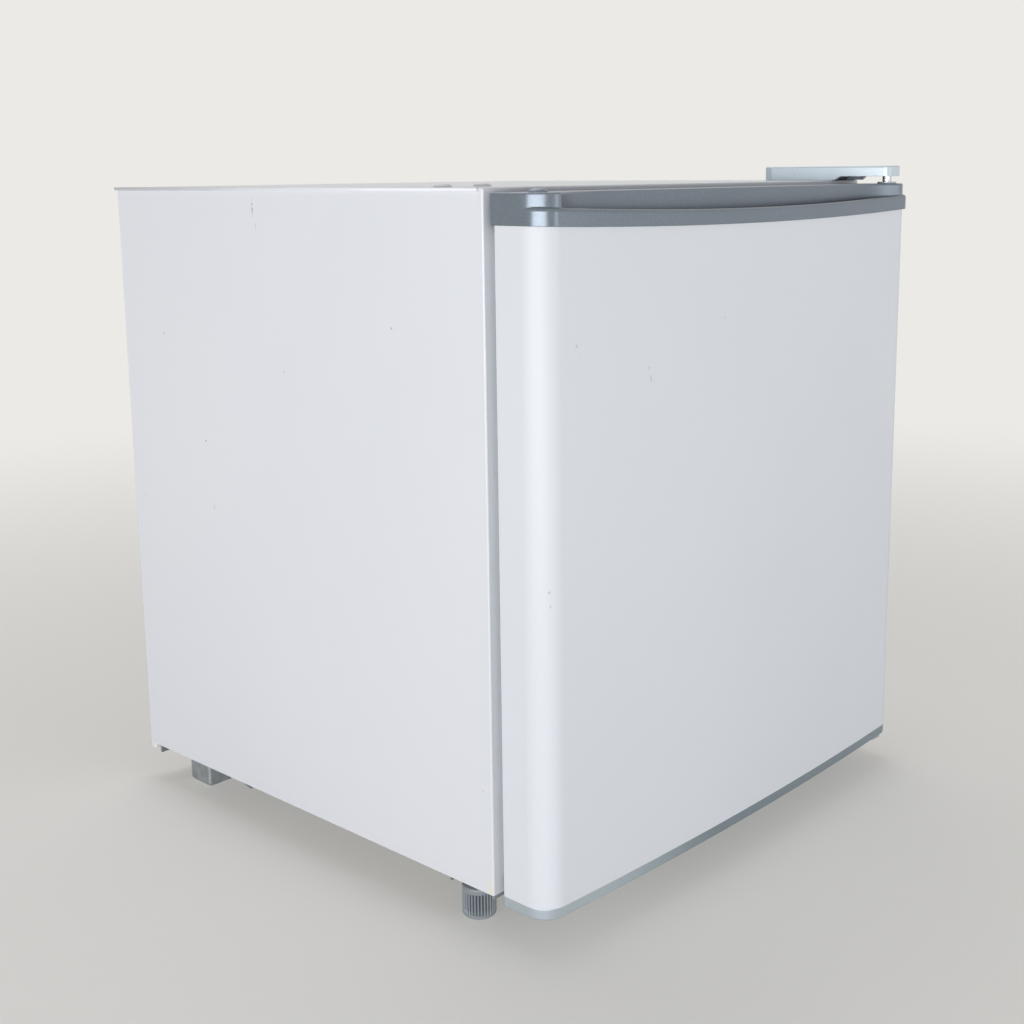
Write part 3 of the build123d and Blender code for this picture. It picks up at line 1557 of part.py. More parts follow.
def dyke_ring(grow, rear, front):
    x, z0, z1 = dyke_limits(grow)
    outer = prism_y(rounded_rectangle(-x, x, z0, z1, dyke_corner + grow), front, rear)
    w = dyke_width + 2 * grow
    corner = max(dyke_corner - dyke_width - grow, 3)
    return outer - prism_y(rounded_rectangle(-x + w, x - w, z0 + w, z1 - w, corner), front, rear)


def door_liner():
    """A vacuum formed panel with a raised rim that reaches into the cabinet."""
    x = half - panel_inset
    flat = rounded_rectangle(-x, x, panel_bottom, panel_top, panel_round)
    rim = dyke_ring(0, y_at(dyke_reach), door_back)
    rim = fillet(rim.faces().sort_by(Axis.Y)[-1].edges(), dyke_round)
    core = dyke_ring(-panel, y_at(dyke_reach) - panel, door_back)
    body = prism_y(flat, door_back, door_back + panel) + rim - core
    return body + rack_peg(upper_rack_level) + rack_peg(lower_rack_level())


def rack_peg(level):
    """A pair of pegs on the rim's inner sides."""
    x, _, _ = dyke_limits()
    end = x - dyke_width
    return both(cylinder_x(y_at(peg_depth), level + peg_level, end - peg_reach, end + 0.2, peg_radius))


def door_foam():
    """Foam between the skin, the liner and the two caps."""
    rear = door_back - sheet
    top = seam_low - tongue - 1
    above_cap = skin_bottom + tongue
    body = prism_z(door_plan(sheet, rear), above_cap, top)
    side = half - skin_flange
    body = body + block(-side, side, rear, door_back, above_cap + panel, top)
    within = sheet + tongue_clearance + cap_wall
    body = body + prism_z(door_plan(within, door_back - within), door_bottom + cap_wall, above_cap + 1)
    body = body + dyke_ring(-panel, y_at(dyke_reach) - panel, rear)
    for x in (hinge_x, -hinge_x):
        boss_end_z = door_bottom + bush_length + boss_wall
        body = body - cylinder(x, hinge_y, door_bottom, boss_end_z, boss_radius())
    return body


def gasket_ring(outer, inner, y0, y1):
    """A rectangular ring by its insets from the gasket's outer edge."""
    x = half - gasket_inset
    big = block(-x + outer, x - outer, y0, y1, gasket_bottom + outer, gasket_top - outer)
    small = block(-x + inner, x - inner, y0 - 1, y1 + 1, gasket_bottom + inner, gasket_top - inner)
    return big - small


def door_gasket():
    """A soft frame: base, bellows and a bulb round the magnet strip."""
    seat = door_back + panel
    face = y_at(-gasket_gap)
    w = gasket_width
    shoulder = face - gasket_bulb
    base = gasket_ring(0, w, seat, seat + gasket_base)
    neck = gasket_ring(gasket_neck, w - gasket_neck, seat + gasket_base, shoulder)
    bulb = gasket_ring(gasket_bulb_inset, w - gasket_bulb_inset, shoulder, face)
    hollow = gasket_ring(gasket_hollow, w - gasket_hollow, seat + gasket_base / 2, shoulder - magnet_cover)
    return base + neck + bulb - hollow - gasket_magnets()


def gasket_magnets():
    face = y_at(-gasket_gap) - magnet_cover
    return gasket_ring(magnet_inset, gasket_width - magnet_inset, face - magnet_thick, face)


def rack(level, height, reach):
    """A clip-in basket, open at the top and towards the door."""
    x, _, _ = dyke_limits()
    x1 = x - dyke_width - rack_side_gap
    y0, y1 = door_back + panel + flange_play, y_at(reach)
    w = rack_wall
    high = level + height + rack_rise
    side = outline([
        (y0, level), (y1, level, rack_round), (y1, level + height, rack_lip_round),
        (y1 - rack_shoulder, level + height), (y0, high, rack_lip_round),
    ])
    body = prism_x(side, -x1, x1) & prism_z(rack_plan(x1, y0, y1, rack_plan_round), level, high)
    hole = outline([(y0, level + w), (y1 - w, level + w, rack_round - w), (y1 - w, high), (y0, high)])
    inner = prism_x(hole, -x1 + w, x1 - w) & prism_z(
        rack_plan(x1 - w, y0, y1 - w, rack_plan_round - w), level, high)
    side_x, (low_share, high_share) = x1 - rack_window_inset, rack_window
    window = rounded_rectangle(-side_x, side_x, level + height * low_share, level + height * high_share, 5)
    return body - inner - prism_y(window, y1 - 2 * w, y1) - rack_slot(level)


def rack_plan(x, y0, y1, radius):
    return outline([(-x, y0), (x, y0), (x, y1, radius), (-x, y1, radius)])


def rack_slot(level):
    """The keyhole slots by which a basket drops over its pegs."""
    x, _, _ = dyke_limits()
    end = x - dyke_width
    r = peg_radius + peg_clearance
    y = y_at(peg_depth)
    hole = cylinder_x(y, level + peg_level, end - peg_reach - 1, end, r)
    return both(hole + block(end - peg_reach - 1, end, y - r, y + r, level, level + peg_level))


def upper_door_rack():
    return rack(upper_rack_level, upper_rack_height, upper_rack_reach)


def lower_door_rack():
    return rack(lower_rack_level(), lower_rack_height, lower_rack_reach)


pieces = {
    "left_side_panel": left_side_panel,
    "right_side_panel": lambda: mirror(left_side_panel(), about=Plane.YZ),
    "top_panel": top_panel,
    "base_panel": base_panel,
    "back_panel": back_panel,
    "inner_liner": inner_liner,
    "cabinet_foam": cabinet_foam,
    "left_condenser_coil": condenser_coil,
    "right_condenser_coil": lambda: mirror(condenser_coil(), about=Plane.YZ),
    "front_bottom_rail": front_bottom_rail,
    "foot_nuts": foot_nuts,
    "left_foot": lambda: levelling_foot(-1),
    "right_foot": lambda: levelling_foot(1),
    "compressor_tray": compressor_tray,
    "rear_corner_blocks": rear_corner_blocks,
    "compressor": compressor,
    "compressor_grommets": compressor_grommets,
    "compressor_bolts": compressor_bolts,
    "relay_cover": relay_cover,
    "cord_gland": cord_gland,
    "filter_drier": filter_drier,
    "discharge_tube": discharge_tube,
    "suction_tube": lambda: pipe(suction_route(), tube_radius),
    "capillary_tube": lambda: pipe(capillary_route(), thin_tube_radius),
    "evaporator": evaporator,
    "evaporator_hangers": evaporator_hangers,
    "evaporator_screws": evaporator_screws,
    "freezer_frame": freezer_frame,
    "freezer_flap": freezer_flap,
    "drip_tray_rails": drip_tray_rails,
    "drip_tray": drip_tray,
    "shelf": shelf,
    "thermostat_housing": thermostat_housing,
    "thermostat": thermostat,
    "thermostat_shaft": thermostat_shaft,
    "thermostat_knob": thermostat_knob,
    "sensing_tube": sensing_tube,
    "sensing_clamp": sensing_clamp,
    "upper_hinge_plate": upper_hinge_plate,
    "upper_hinge_pin": upper_hinge_pin,
    "upper_hinge_screws": upper_hinge_screws,
    "upper_hinge_cover": upper_hinge_cover,
    "top_hole_plugs": top_hole_plugs,
    "lower_hinge_bracket": lower_hinge_bracket,
    "lower_hinge_pin": lower_hinge_pin,
    "lower_hinge_screws": lower_hinge_screws,
    "hinge_bushes": hinge_bushes,
    "door_skin": door_skin,
    "door_top_cap": door_top_cap,
    "door_bottom_cap": door_bottom_cap,
    "cap_hole_plug": cap_hole_plug,
    "door_foam": door_foam,
    "door_liner": door_liner,
    "door_gasket": door_gasket,
    "gasket_magnets": gasket_magnets,
    "upper_door_rack": upper_door_rack,
    "lower_door_rack": lower_door_rack,
}

for name, make in pieces.items():
    export_step(make(), f"parts/{name}.step")
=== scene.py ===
import bpy
import bmesh
import json
from math import cos, pi, radians, sin
from mathutils import Matrix, Vector


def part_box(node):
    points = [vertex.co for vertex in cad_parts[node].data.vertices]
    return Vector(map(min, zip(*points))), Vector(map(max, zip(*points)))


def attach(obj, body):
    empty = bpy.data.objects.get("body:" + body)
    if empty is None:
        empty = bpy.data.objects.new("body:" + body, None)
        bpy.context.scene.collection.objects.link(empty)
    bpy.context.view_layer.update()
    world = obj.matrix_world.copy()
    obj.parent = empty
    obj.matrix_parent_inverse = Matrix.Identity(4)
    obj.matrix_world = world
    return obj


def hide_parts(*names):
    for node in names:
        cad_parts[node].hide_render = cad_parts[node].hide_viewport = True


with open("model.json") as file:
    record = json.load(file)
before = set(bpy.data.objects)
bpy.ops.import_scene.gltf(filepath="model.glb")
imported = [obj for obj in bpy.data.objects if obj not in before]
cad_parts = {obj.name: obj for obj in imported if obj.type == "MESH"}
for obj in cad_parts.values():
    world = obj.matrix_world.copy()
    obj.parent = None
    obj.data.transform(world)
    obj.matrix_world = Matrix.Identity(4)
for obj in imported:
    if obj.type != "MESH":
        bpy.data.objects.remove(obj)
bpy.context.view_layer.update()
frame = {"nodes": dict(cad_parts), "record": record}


# node tools
def rgb(red, green, blue):
    def linear(part):
        part = part / 255
        return part / 12.92 if part <= 0.04045 else ((part + 0.055) / 1.055) ** 2.4
    return (linear(red), linear(green), linear(blue), 1.0)


def feed(tree, socket, value):
    # a socket takes a plain value or the output of another node
    if isinstance(value, bpy.types.NodeSocket):
        tree.links.new(value, socket)
    else:
        socket.default_value = value


def put(tree, kind, takes=None, **values):
    # values that the node has as settings are set, all others go to its sockets
    made = tree.nodes.new(kind)
    made.location = (190 * (len(tree.nodes) % 9), -260 * (len(tree.nodes) // 9))
    sockets = dict(takes or {})
    for key, value in values.items():
        if hasattr(made, key):
            setattr(made, key, value)
        else:
            sockets[key.replace("_", " ")] = value
    for key, value in sockets.items():
        feed(tree, made.inputs[key], value)
    return made


def use(tree, group, **values):
    return put(tree, "ShaderNodeGroup", node_tree=group, **values)


def mixColour(tree, mask, below, above):
    return put(tree, "ShaderNodeMix", {0: mask, 6: below, 7: above}, data_type="RGBA").outputs[2]


def sums(tree, operation, *parts):
    return put(tree, "ShaderNodeMath", dict(enumerate(parts)), operation=operation).outputs[0]


def vectorSums(tree, operation, *parts):
    return put(tree, "ShaderNodeVectorMath", dict(enumerate(parts)), operation=operation)


def ramp(tree, value, low, high):
    made = put(tree, "ShaderNodeMapRange", interpolation_type="SMOOTHSTEP", Value=value, From_Min=low, From_Max=high)
    return made.outputs["Result"]


def objectPlace(tree):
    return put(tree, "ShaderNodeTexCoord").outputs["Object"]


def noise(tree, place, scale, detail, **values):
    return put(tree, "ShaderNodeTexNoise", Vector=place, Scale=scale, Detail=detail, **values).outputs["Fac"]


def shareGroup(name, takes, gives):
    tree = bpy.data.node_groups.new(name, "ShaderNodeTree")
    for label, kind, start in takes:
        socket = tree.interface.new_socket(label, in_out="INPUT", socket_type="NodeSocket" + kind)
        socket.default_value = start
    for label, kind in gives:
        tree.interface.new_socket(label, in_out="OUTPUT", socket_type="NodeSocket" + kind)
    return tree, tree.nodes.new("NodeGroupInput").outputs, tree.nodes.new("NodeGroupOutput").inputs


# shared effects; each band says where the effect begins and where it is full
effects = {
    "driftDetail": 4.0, "driftRoughness": 0.55, "driftBand": (0.18, 0.82), "grainDetail": 2.0, "coarseShare": 0.21,
    "coarseDetail": 1.0, "lineDetail": 2.0, "lineBand": (0.0, 0.05), "dustDetail": 5.0, "slopeBand": (0.55, 1.0),
    "patchBand": (0.35, 0.7), "edgeSamples": 6, "rubScale": 90.0, "rubDetail": 4.0, "rubBand": (0.42, 0.62),
    "turnBand": (0.02, 0.2),
}


def toneDriftGroup():
    tree, inside, outside = shareGroup(
        "toneDrift", [("Base", "Color", (1, 1, 1, 1)), ("Deeper", "Color", (0.8, 0.8, 0.8, 1)),
                      ("Scale", "Float", 6.0), ("Amount", "Float", 0.3)], [("Colour", "Color"), ("Drift", "Float")])
    clouds = noise(tree, objectPlace(tree), inside["Scale"], effects["driftDetail"],
                   Roughness=effects["driftRoughness"])
    spread = ramp(tree, clouds, *effects["driftBand"])
    share = sums(tree, "MULTIPLY", spread, inside["Amount"])
    feed(tree, outside["Colour"], mixColour(tree, share, inside["Base"], inside["Deeper"]))
    feed(tree, outside["Drift"], spread)
    return tree


def skinGrainGroup():
    # the fine skin of sprayed paint or of a textured mould
    tree, inside, outside = shareGroup("skinGrain", [("Scale", "Float", 700.0), ("Coarse", "Float", 0.5)],
                                       [("Height", "Float")])
    place = objectPlace(tree)
    fine = noise(tree, place, inside["Scale"], effects["grainDetail"])
    wide = sums(tree, "MULTIPLY", inside["Scale"], effects["coarseShare"])
    slow = noise(tree, place, wide, effects["coarseDetail"])
    feed(tree, outside["Height"], sums(tree, "ADD", fine, sums(tree, "MULTIPLY", slow, inside["Coarse"])))
    return tree


def strayFlecksGroup():
    tree, inside, outside = shareGroup("strayFlecks", [("Scale", "Float", 60.0), ("Size", "Float", 0.1),
                                                      ("Share", "Float", 0.1)], [("Mask", "Float")])
    cells = put(tree, "ShaderNodeTexVoronoi", Vector=objectPlace(tree), Scale=inside["Scale"], Randomness=1.0)
    chance = put(tree, "ShaderNodeSeparateColor", Color=cells.outputs["Color"]).outputs
    some = sums(tree, "LESS_THAN", chance[0], inside["Share"])
    size = sums(tree, "MULTIPLY", chance[1], inside["Size"])
    near = sums(tree, "LESS_THAN", cells.outputs["Distance"], size)
    feed(tree, outside["Mask"], sums(tree, "MULTIPLY", some, near))
    return tree


def hairlinesGroup():
    # fine marks that run along one direction
    tree, inside, outside = shareGroup("hairlines", [("Stretch", "Vector", (400, 400, 8)), ("Level", "Float", 0.74)],
                                       [("Mask", "Float")])
    drawn = vectorSums(tree, "MULTIPLY", objectPlace(tree), inside["Stretch"]).outputs[0]
    over = sums(tree, "SUBTRACT", noise(tree, drawn, 1.0, effects["lineDetail"]), inside["Level"])
    feed(tree, outside["Mask"], ramp(tree, over, *effects["lineBand"]))
    return tree


def settledDustGroup():
    # dust lies in patches on what faces up
    tree, inside, outside = shareGroup("settledDust", [("Scale", "Float", 30.0), ("Amount", "Float", 0.3)],
                                       [("Mask", "Float")])
    facing = put(tree, "ShaderNodeSeparateXYZ", Vector=put(tree, "ShaderNodeNewGeometry").outputs["Normal"])
    clouds = noise(tree, objectPlace(tree), inside["Scale"], effects["dustDetail"])
    lying = ramp(tree, facing.outputs["Z"], *effects["slopeBand"])
    patchy = ramp(tree, clouds, *effects["patchBand"])
    feed(tree, outside["Mask"], sums(tree, "MULTIPLY", sums(tree, "MULTIPLY", lying, patchy), inside["Amount"]))
    return tree


def softEdgeGroup():
    # a soft edge for the normal, and how far it has turned, for rubbed edges
    tree, inside, outside = shareGroup("softEdge", [("Radius", "Float", 0.0006), ("Rub", "Float", 1.0)],
                                       [("Normal", "Vector"), ("Mask", "Float")])
    soft = put(tree, "ShaderNodeBevel", Radius=inside["Radius"], samples=effects["edgeSamples"]).outputs[0]
    plain = put(tree, "ShaderNodeNewGeometry").outputs["Normal"]
    turned = vectorSums(tree, "DOT_PRODUCT", soft, plain).outputs["Value"]
    clouds = noise(tree, objectPlace(tree), effects["rubScale"], effects["rubDetail"])
    away = ramp(tree, sums(tree, "SUBTRACT", 1.0, turned), *effects["turnBand"])
    broken = sums(tree, "MULTIPLY", away, ramp(tree, clouds, *effects["rubBand"]))
    feed(tree, outside["Mask"], sums(tree, "MULTIPLY", broken, inside["Rub"]))
    feed(tree, outside["Normal"], soft)
    return tree


toneDrift = toneDriftGroup()
skinGrain = skinGrainGroup()
strayFlecks = strayFlecksGroup()
hairlines = hairlinesGroup()
settledDust = settledDustGroup()
softEdge = softEdgeGroup()
finishes = {}


# what every finish has where its own look says nothing else
plainLook = {
    "metallic": 0.0, "ior": 1.5, "coat": 0.0, "coatRoughness": 0.1, "glow": 0.0, "glowDepth": 0.002,
    "driftScale": 5.0, "drift": 0.5, "roughSpread": 0.06, "fleckScale": 70.0, "fleckSize": 0.07, "flecks": 0.05,
    "fleckColour": rgb(150, 135, 105), "dustScale": 28.0, "dust": 0.15, "dustColour": rgb(196, 190, 180),
    "dustDulls": 0.25, "edge": 0.0006, "rub": 0.25, "rubColour": rgb(190, 192, 194), "grainScale": 700.0,
    "coarse": 0.6, "bump": 0.35, "grainDepth": 0.00002,
}


def rewire(tree, shader, colour=None, shine=None):
    for socket, value in (("Base Color", colour), ("Roughness", shine)):
        if value is not None:
            feed(tree, shader.inputs[socket], value)


def baseFinish(name, ownLook):
    # the steps that every finish has; a finish with more adds to what this returns
    look = dict(plainLook, **ownLook)
    material = bpy.data.materials.new(name)
    material.use_nodes = True
    tree = material.node_tree
    shader = tree.nodes["Principled BSDF"]
    for socket, value in (("Metallic", "metallic"), ("IOR", "ior"), ("Coat Weight", "coat"),
                          ("Coat Roughness", "coatRoughness"), ("Subsurface Weight", "glow"),
                          ("Subsurface Scale", "glowDepth")):
        shader.inputs[socket].default_value = look[value]
    drift = use(tree, toneDrift, Base=look["colour"], Deeper=look["deeper"], Scale=look["driftScale"],
                Amount=look["drift"]).outputs
    flecks = use(tree, strayFlecks, Scale=look["fleckScale"], Size=look["fleckSize"], Share=look["flecks"])
    dust = use(tree, settledDust, Scale=look["dustScale"], Amount=look["dust"]).outputs["Mask"]
    edge = use(tree, softEdge, Radius=look["edge"], Rub=look["rub"]).outputs
    grain = use(tree, skinGrain, Scale=look["grainScale"], Coarse=look["coarse"]).outputs["Height"]
    colour = mixColour(tree, flecks.outputs["Mask"], drift["Colour"], look["fleckColour"])
    colour = mixColour(tree, dust, colour, look["dustColour"])
    colour = mixColour(tree, edge["Mask"], colour, look["rubColour"])
    shine = sums(tree, "MULTIPLY_ADD", drift["Drift"], look["roughSpread"], look["roughness"])
    shine = sums(tree, "MULTIPLY_ADD", dust, look["dustDulls"], shine)
    bump = put(tree, "ShaderNodeBump", Height=grain, Normal=edge["Normal"], Strength=look["bump"],
               Distance=look["grainDepth"])
    rewire(tree, shader, colour, shine)
    feed(tree, shader.inputs["Normal"], bump.outputs["Normal"])
    finishes[name] = material
    return tree, shader, colour, shine


# painted sheet
cabinetPaintLook = {
    "colour": rgb(224, 227, 234), "deeper": rgb(217, 221, 229), "driftScale": 3.5, "drift": 0.6, "roughness": 0.34,
    "roughSpread": 0.07, "grainScale": 620.0, "grainDepth": 0.00002, "bump": 0.4, "flecks": 0.03, "fleckSize": 0.05,
    "fleckScale": 45.0, "edge": 0.0003, "rub": 0.12, "rubColour": rgb(205, 207, 210), "coat": 0.35,
    "coatRoughness": 0.2, "dust": 0.1,
    # each scratch: y, z, half width, half length and strength
    "scratches": [(0.055, 0.479, 0.0010, 0.0082, 0.75), (0.052, 0.466, 0.0006, 0.0035, 0.5),
                  (0.026, 0.363, 0.0010, 0.0022, 0.6), (0.020, 0.384, 0.0005, 0.0060, 0.3),
                  (-0.090, 0.402, 0.0012, 0.0012, 0.5), (0.120, 0.250, 0.0008, 0.0030, 0.3)],
    "scratchColour": rgb(112, 110, 106), "scratchReach": 0.003,
    "breakScale": 420.0, "breakDetail": 4.0, "breakBand": (0.42, 0.56),
    "stainColour": rgb(232, 228, 208), "stainAt": (0.0022, 0.0055), "stainReach": (0.006, 0.0042, 0.0085),
    "stainScale": 160.0, "stainDetail": 2.0, "stainBand": (0.2, 0.6),
    "hairStretch": (500, 260, 9), "hairLevel": 0.775, "hairShare": 0.25, "hairColour": rgb(200, 202, 206),
}
markCore = 0.35  # the share of a mark's reach that is full


def spot(tree, place, middle, reach):
    # one soft mark round a place, as a share from 0 to 1
    moved = vectorSums(tree, "SUBTRACT", place, middle).outputs[0]
    scaled = vectorSums(tree, "DIVIDE", moved, reach).outputs[0]
    length = vectorSums(tree, "LENGTH", scaled).outputs["Value"]
    return sums(tree, "SUBTRACT", 1.0, ramp(tree, length, markCore, 1.0))


def brokenMark(tree, colour, mark, breaks, strength, tint):
    # a mark that a noise breaks up, laid over a colour
    share = sums(tree, "MULTIPLY", sums(tree, "MULTIPLY", mark, breaks), strength)
    return mixColour(tree, share, colour, tint)


def paleHairlines(tree, look, colour):
    lines = use(tree, hairlines, Stretch=look["hairStretch"], Level=look["hairLevel"]).outputs["Mask"]
    return mixColour(tree, sums(tree, "MULTIPLY", lines, look["hairShare"]), colour, look["hairColour"])


def cabinetPaint():
    look = cabinetPaintLook
    tree, shader, colour, shine = baseFinish("cabinet_paint", look)
    place = objectPlace(tree)
    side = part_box("left_side_panel")[0]
    breaks = ramp(tree, noise(tree, place, look["breakScale"], look["breakDetail"]), *look["breakBand"])
    for y, z, width, length, strength in look["scratches"]:
        mark = spot(tree, place, (side.x, y, z), (look["scratchReach"], width, length))
        colour = brokenMark(tree, colour, mark, breaks, strength, look["scratchColour"])
    stain = spot(tree, place, (side.x, side.y + look["stainAt"][0], side.z + look["stainAt"][1]),
                 look["stainReach"])
    blotches = ramp(tree, noise(tree, place, look["stainScale"], look["stainDetail"]), *look["stainBand"])
    colour = brokenMark(tree, colour, stain, blotches, 1.0, look["stainColour"])
    rewire(tree, shader, paleHairlines(tree, look, colour))


doorPaintLook = {
    "colour": rgb(221, 225, 232), "deeper": rgb(214, 219, 227), "driftScale": 4.0, "drift": 0.5, "roughness": 0.42,
    "ior": 1.42, "roughSpread": 0.06, "grainScale": 560.0, "grainDepth": 0.000022, "bump": 0.4, "flecks": 0.03,
    "fleckSize": 0.05, "fleckScale": 42.0, "edge": 0.0003, "rub": 0.08, "coat": 0.1, "coatRoughness": 0.3,
    # each drip: x, z and half length
    "drips": [(-0.192, 0.397, 0.0026), (-0.189, 0.391, 0.0018), (-0.122, 0.370, 0.0034), (-0.124, 0.377, 0.0016),
              (-0.043, 0.403, 0.0028), (-0.215, 0.245, 0.0036), (-0.214, 0.236, 0.002)],
    "dripColour": rgb(186, 176, 152), "dripReach": (0.0012, 0.05), "dripShare": 0.6,
    "breakScale": 520.0, "breakDetail": 3.0, "breakBand": (0.46, 0.56),
}


def doorPaint():
    look = doorPaintLook
    tree, shader, colour, shine = baseFinish("door_paint", look)
    place = objectPlace(tree)
    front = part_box("door_skin")[0].y
    breaks = ramp(tree, noise(tree, place, look["breakScale"], look["breakDetail"]), *look["breakBand"])
    for x, z, reach in look["drips"]:
        mark = spot(tree, place, (x, front, z), (*look["dripReach"], reach))
        colour = brokenMark(tree, colour, mark, breaks, look["dripShare"], look["dripColour"])
    rewire(tree, shader, colour)


backPaintLook = {
    "colour": rgb(205, 208, 211), "deeper": rgb(190, 194, 197), "roughness": 0.5, "grainScale": 400.0,
    "grainDepth": 0.00003, "flecks": 0.06, "rub": 0.3, "dust": 0.3, "edge": 0.0008,
    "hairStretch": (12, 300, 300), "hairLevel": 0.72, "hairShare": 0.35, "hairColour": rgb(172, 176, 180),
}


def backPaint():
    tree, shader, colour, shine = baseFinish("back_paint", backPaintLook)
    rewire(tree, shader, paleHairlines(tree, backPaintLook, colour))


# bare and plated metal
galvanisedLook = {
    "colour": rgb(160, 165, 168), "deeper": rgb(128, 133, 137), "driftScale": 14.0, "metallic": 0.85,
    "roughness": 0.42, "roughSpread": 0.12, "grainScale": 900.0, "flecks": 0.1, "fleckColour": rgb(96, 98, 98),
    "rub": 0.4, "rubColour": rgb(205, 208, 210), "dust": 0.35, "edge": 0.0005,
    "flake": 160.0, "flakeShare": 0.4, "flakeColour": rgb(192, 197, 200), "flakeShine": 0.16,
}


def flaked(tree, look, colour, shine):
    # small facets of metal, each with its own shade
    cells = put(tree, "ShaderNodeTexVoronoi", Vector=objectPlace(tree), Scale=look["flake"], Randomness=1.0)
    shade = put(tree, "ShaderNodeSeparateColor", Color=cells.outputs["Color"]).outputs[0]
    colour = mixColour(tree, sums(tree, "MULTIPLY", shade, look["flakeShare"]), colour, look["flakeColour"])
    return colour, sums(tree, "MULTIPLY_ADD", shade, look["flakeShine"], shine)


def galvanised():
    tree, shader, colour, shine = baseFinish("galvanised", galvanisedLook)
    rewire(tree, shader, *flaked(tree, galvanisedLook, colour, shine))


zincLook = {
    "colour": rgb(186, 189, 192), "deeper": rgb(150, 154, 158), "driftScale": 60.0, "metallic": 1.0,
    "roughness": 0.3, "roughSpread": 0.14, "grainScale": 1500.0, "grainDepth": 0.00001, "flecks": 0.06,
    "fleckScale": 240.0, "fleckColour": rgb(120, 116, 108), "rub": 0.4, "rubColour": rgb(226, 228, 230),
    "edge": 0.0003,
}
chromeLook = {
    "colour": rgb(208, 211, 214), "deeper": rgb(176, 180, 184), "driftScale": 80.0, "metallic": 1.0,
    "roughness": 0.12, "roughSpread": 0.1, "grainScale": 1800.0, "grainDepth": 0.000006, "flecks": 0.05,
    "fleckScale": 300.0, "fleckColour": rgb(110, 108, 104), "edge": 0.0003, "dust": 0.1,
}
copperLook = {
    "colour": rgb(186, 118, 82), "deeper": rgb(134, 78, 52), "driftScale": 38.0, "drift": 0.7, "metallic": 1.0,
    "roughness": 0.3, "roughSpread": 0.2, "grainScale": 1200.0, "flecks": 0.1, "fleckScale": 220.0,
    "fleckColour": rgb(84, 62, 48), "rub": 0.2, "rubColour": rgb(214, 150, 110), "edge": 0.0003,
    "heatScale": 22.0, "heatDetail": 5.0, "heatBand": (0.56, 0.72), "heatColour": rgb(112, 74, 66),
}
pipeSteelLook = {
    "colour": rgb(74, 76, 79), "deeper": rgb(52, 53, 56), "metallic": 0.4, "roughness": 0.45, "grainScale": 1000.0,
    "flecks": 0.06, "edge": 0.0003,
}
aluminiumLook = {
    "colour": rgb(205, 209, 212), "deeper": rgb(180, 186, 190), "driftScale": 18.0, "metallic": 0.9,
    "roughness": 0.36, "roughSpread": 0.14, "grainScale": 1100.0, "grainDepth": 0.000015, "flecks": 0.05,
    "fleckScale": 120.0, "fleckColour": rgb(150, 154, 158), "edge": 0.0005, "rub": 0.3, "dust": 0.05,
    "lineStretch": (26, 420, 420), "lineLevel": 0.6, "lineShine": 0.12,
}


def copper():
    tree, shader, colour, shine = baseFinish("copper", copperLook)
    heat = noise(tree, objectPlace(tree), copperLook["heatScale"], copperLook["heatDetail"])
    heat = ramp(tree, heat, *copperLook["heatBand"])
    rewire(tree, shader, mixColour(tree, heat, colour, copperLook["heatColour"]))


def linedShine(name, look):
    # rolling marks or runs that change only the shine
    tree, shader, colour, shine = baseFinish(name, look)
    lines = use(tree, hairlines, Stretch=look["lineStretch"], Level=look["lineLevel"]).outputs["Mask"]
    rewire(tree, shader, shine=sums(tree, "MULTIPLY_ADD", lines, look["lineShine"], shine))


# dark parts
enamelLook = {
    "colour": rgb(20, 20, 21), "deeper": rgb(31, 31, 33), "driftScale": 16.0, "roughness": 0.32,
    "roughSpread": 0.14, "grainScale": 420.0, "grainDepth": 0.00005, "bump": 0.6, "flecks": 0.08,
    "fleckColour": rgb(70, 66, 60), "rub": 0.35, "rubColour": rgb(92, 88, 84), "dust": 0.5, "coat": 0.3,
    "lineStretch": (60, 60, 9), "lineLevel": 0.66, "lineShine": -0.03,
}
blackPlasticLook = {
    "colour": rgb(26, 26, 27), "deeper": rgb(36, 36, 37), "roughness": 0.5, "grainScale": 1300.0,
    "grainDepth": 0.00003, "bump": 0.6, "dust": 0.4, "rub": 0.2, "rubColour": rgb(70, 70, 70), "edge": 0.0006,
}
rubberLook = {
    "colour": rgb(32, 32, 32), "deeper": rgb(44, 43, 42), "roughness": 0.66, "grainScale": 900.0,
    "grainDepth": 0.00003, "dust": 0.5, "rub": 0.1, "edge": 0.0006, "fleckColour": rgb(80, 76, 70),
}
magnetLook = {
    "colour": rgb(38, 36, 35), "deeper": rgb(50, 47, 45), "roughness": 0.6, "grainScale": 800.0, "edge": 0.0004,
}

# pale plastics
linerLook = {
    "colour": rgb(236, 238, 240), "deeper": rgb(228, 231, 233), "driftScale": 7.0, "roughness": 0.29,
    "roughSpread": 0.06, "grainScale": 500.0, "grainDepth": 0.00002, "flecks": 0.02, "edge": 0.0016, "rub": 0.0,
    "coat": 0.2, "glow": 0.05, "dust": 0.05,
}
whitePlasticLook = {
    "colour": rgb(232, 233, 234), "deeper": rgb(222, 223, 224), "driftScale": 24.0, "roughness": 0.36,
    "grainScale": 900.0, "grainDepth": 0.00002, "edge": 0.0007, "rub": 0.05, "glow": 0.05, "dust": 0.1,
}
flapLook = {
    "colour": rgb(222, 232, 240), "deeper": rgb(206, 220, 230), "driftScale": 16.0, "roughness": 0.16,
    "grainScale": 700.0, "grainDepth": 0.00001, "edge": 0.0008, "rub": 0.0, "coat": 0.4, "glow": 0.25,
    "glowDepth": 0.004, "dust": 0.0,
}
trayLook = dict(flapLook, colour=rgb(216, 226, 234), deeper=rgb(200, 214, 224), roughness=0.2)
rackLook = dict(flapLook, colour=rgb(226, 233, 238), deeper=rgb(214, 224, 231), roughness=0.18)
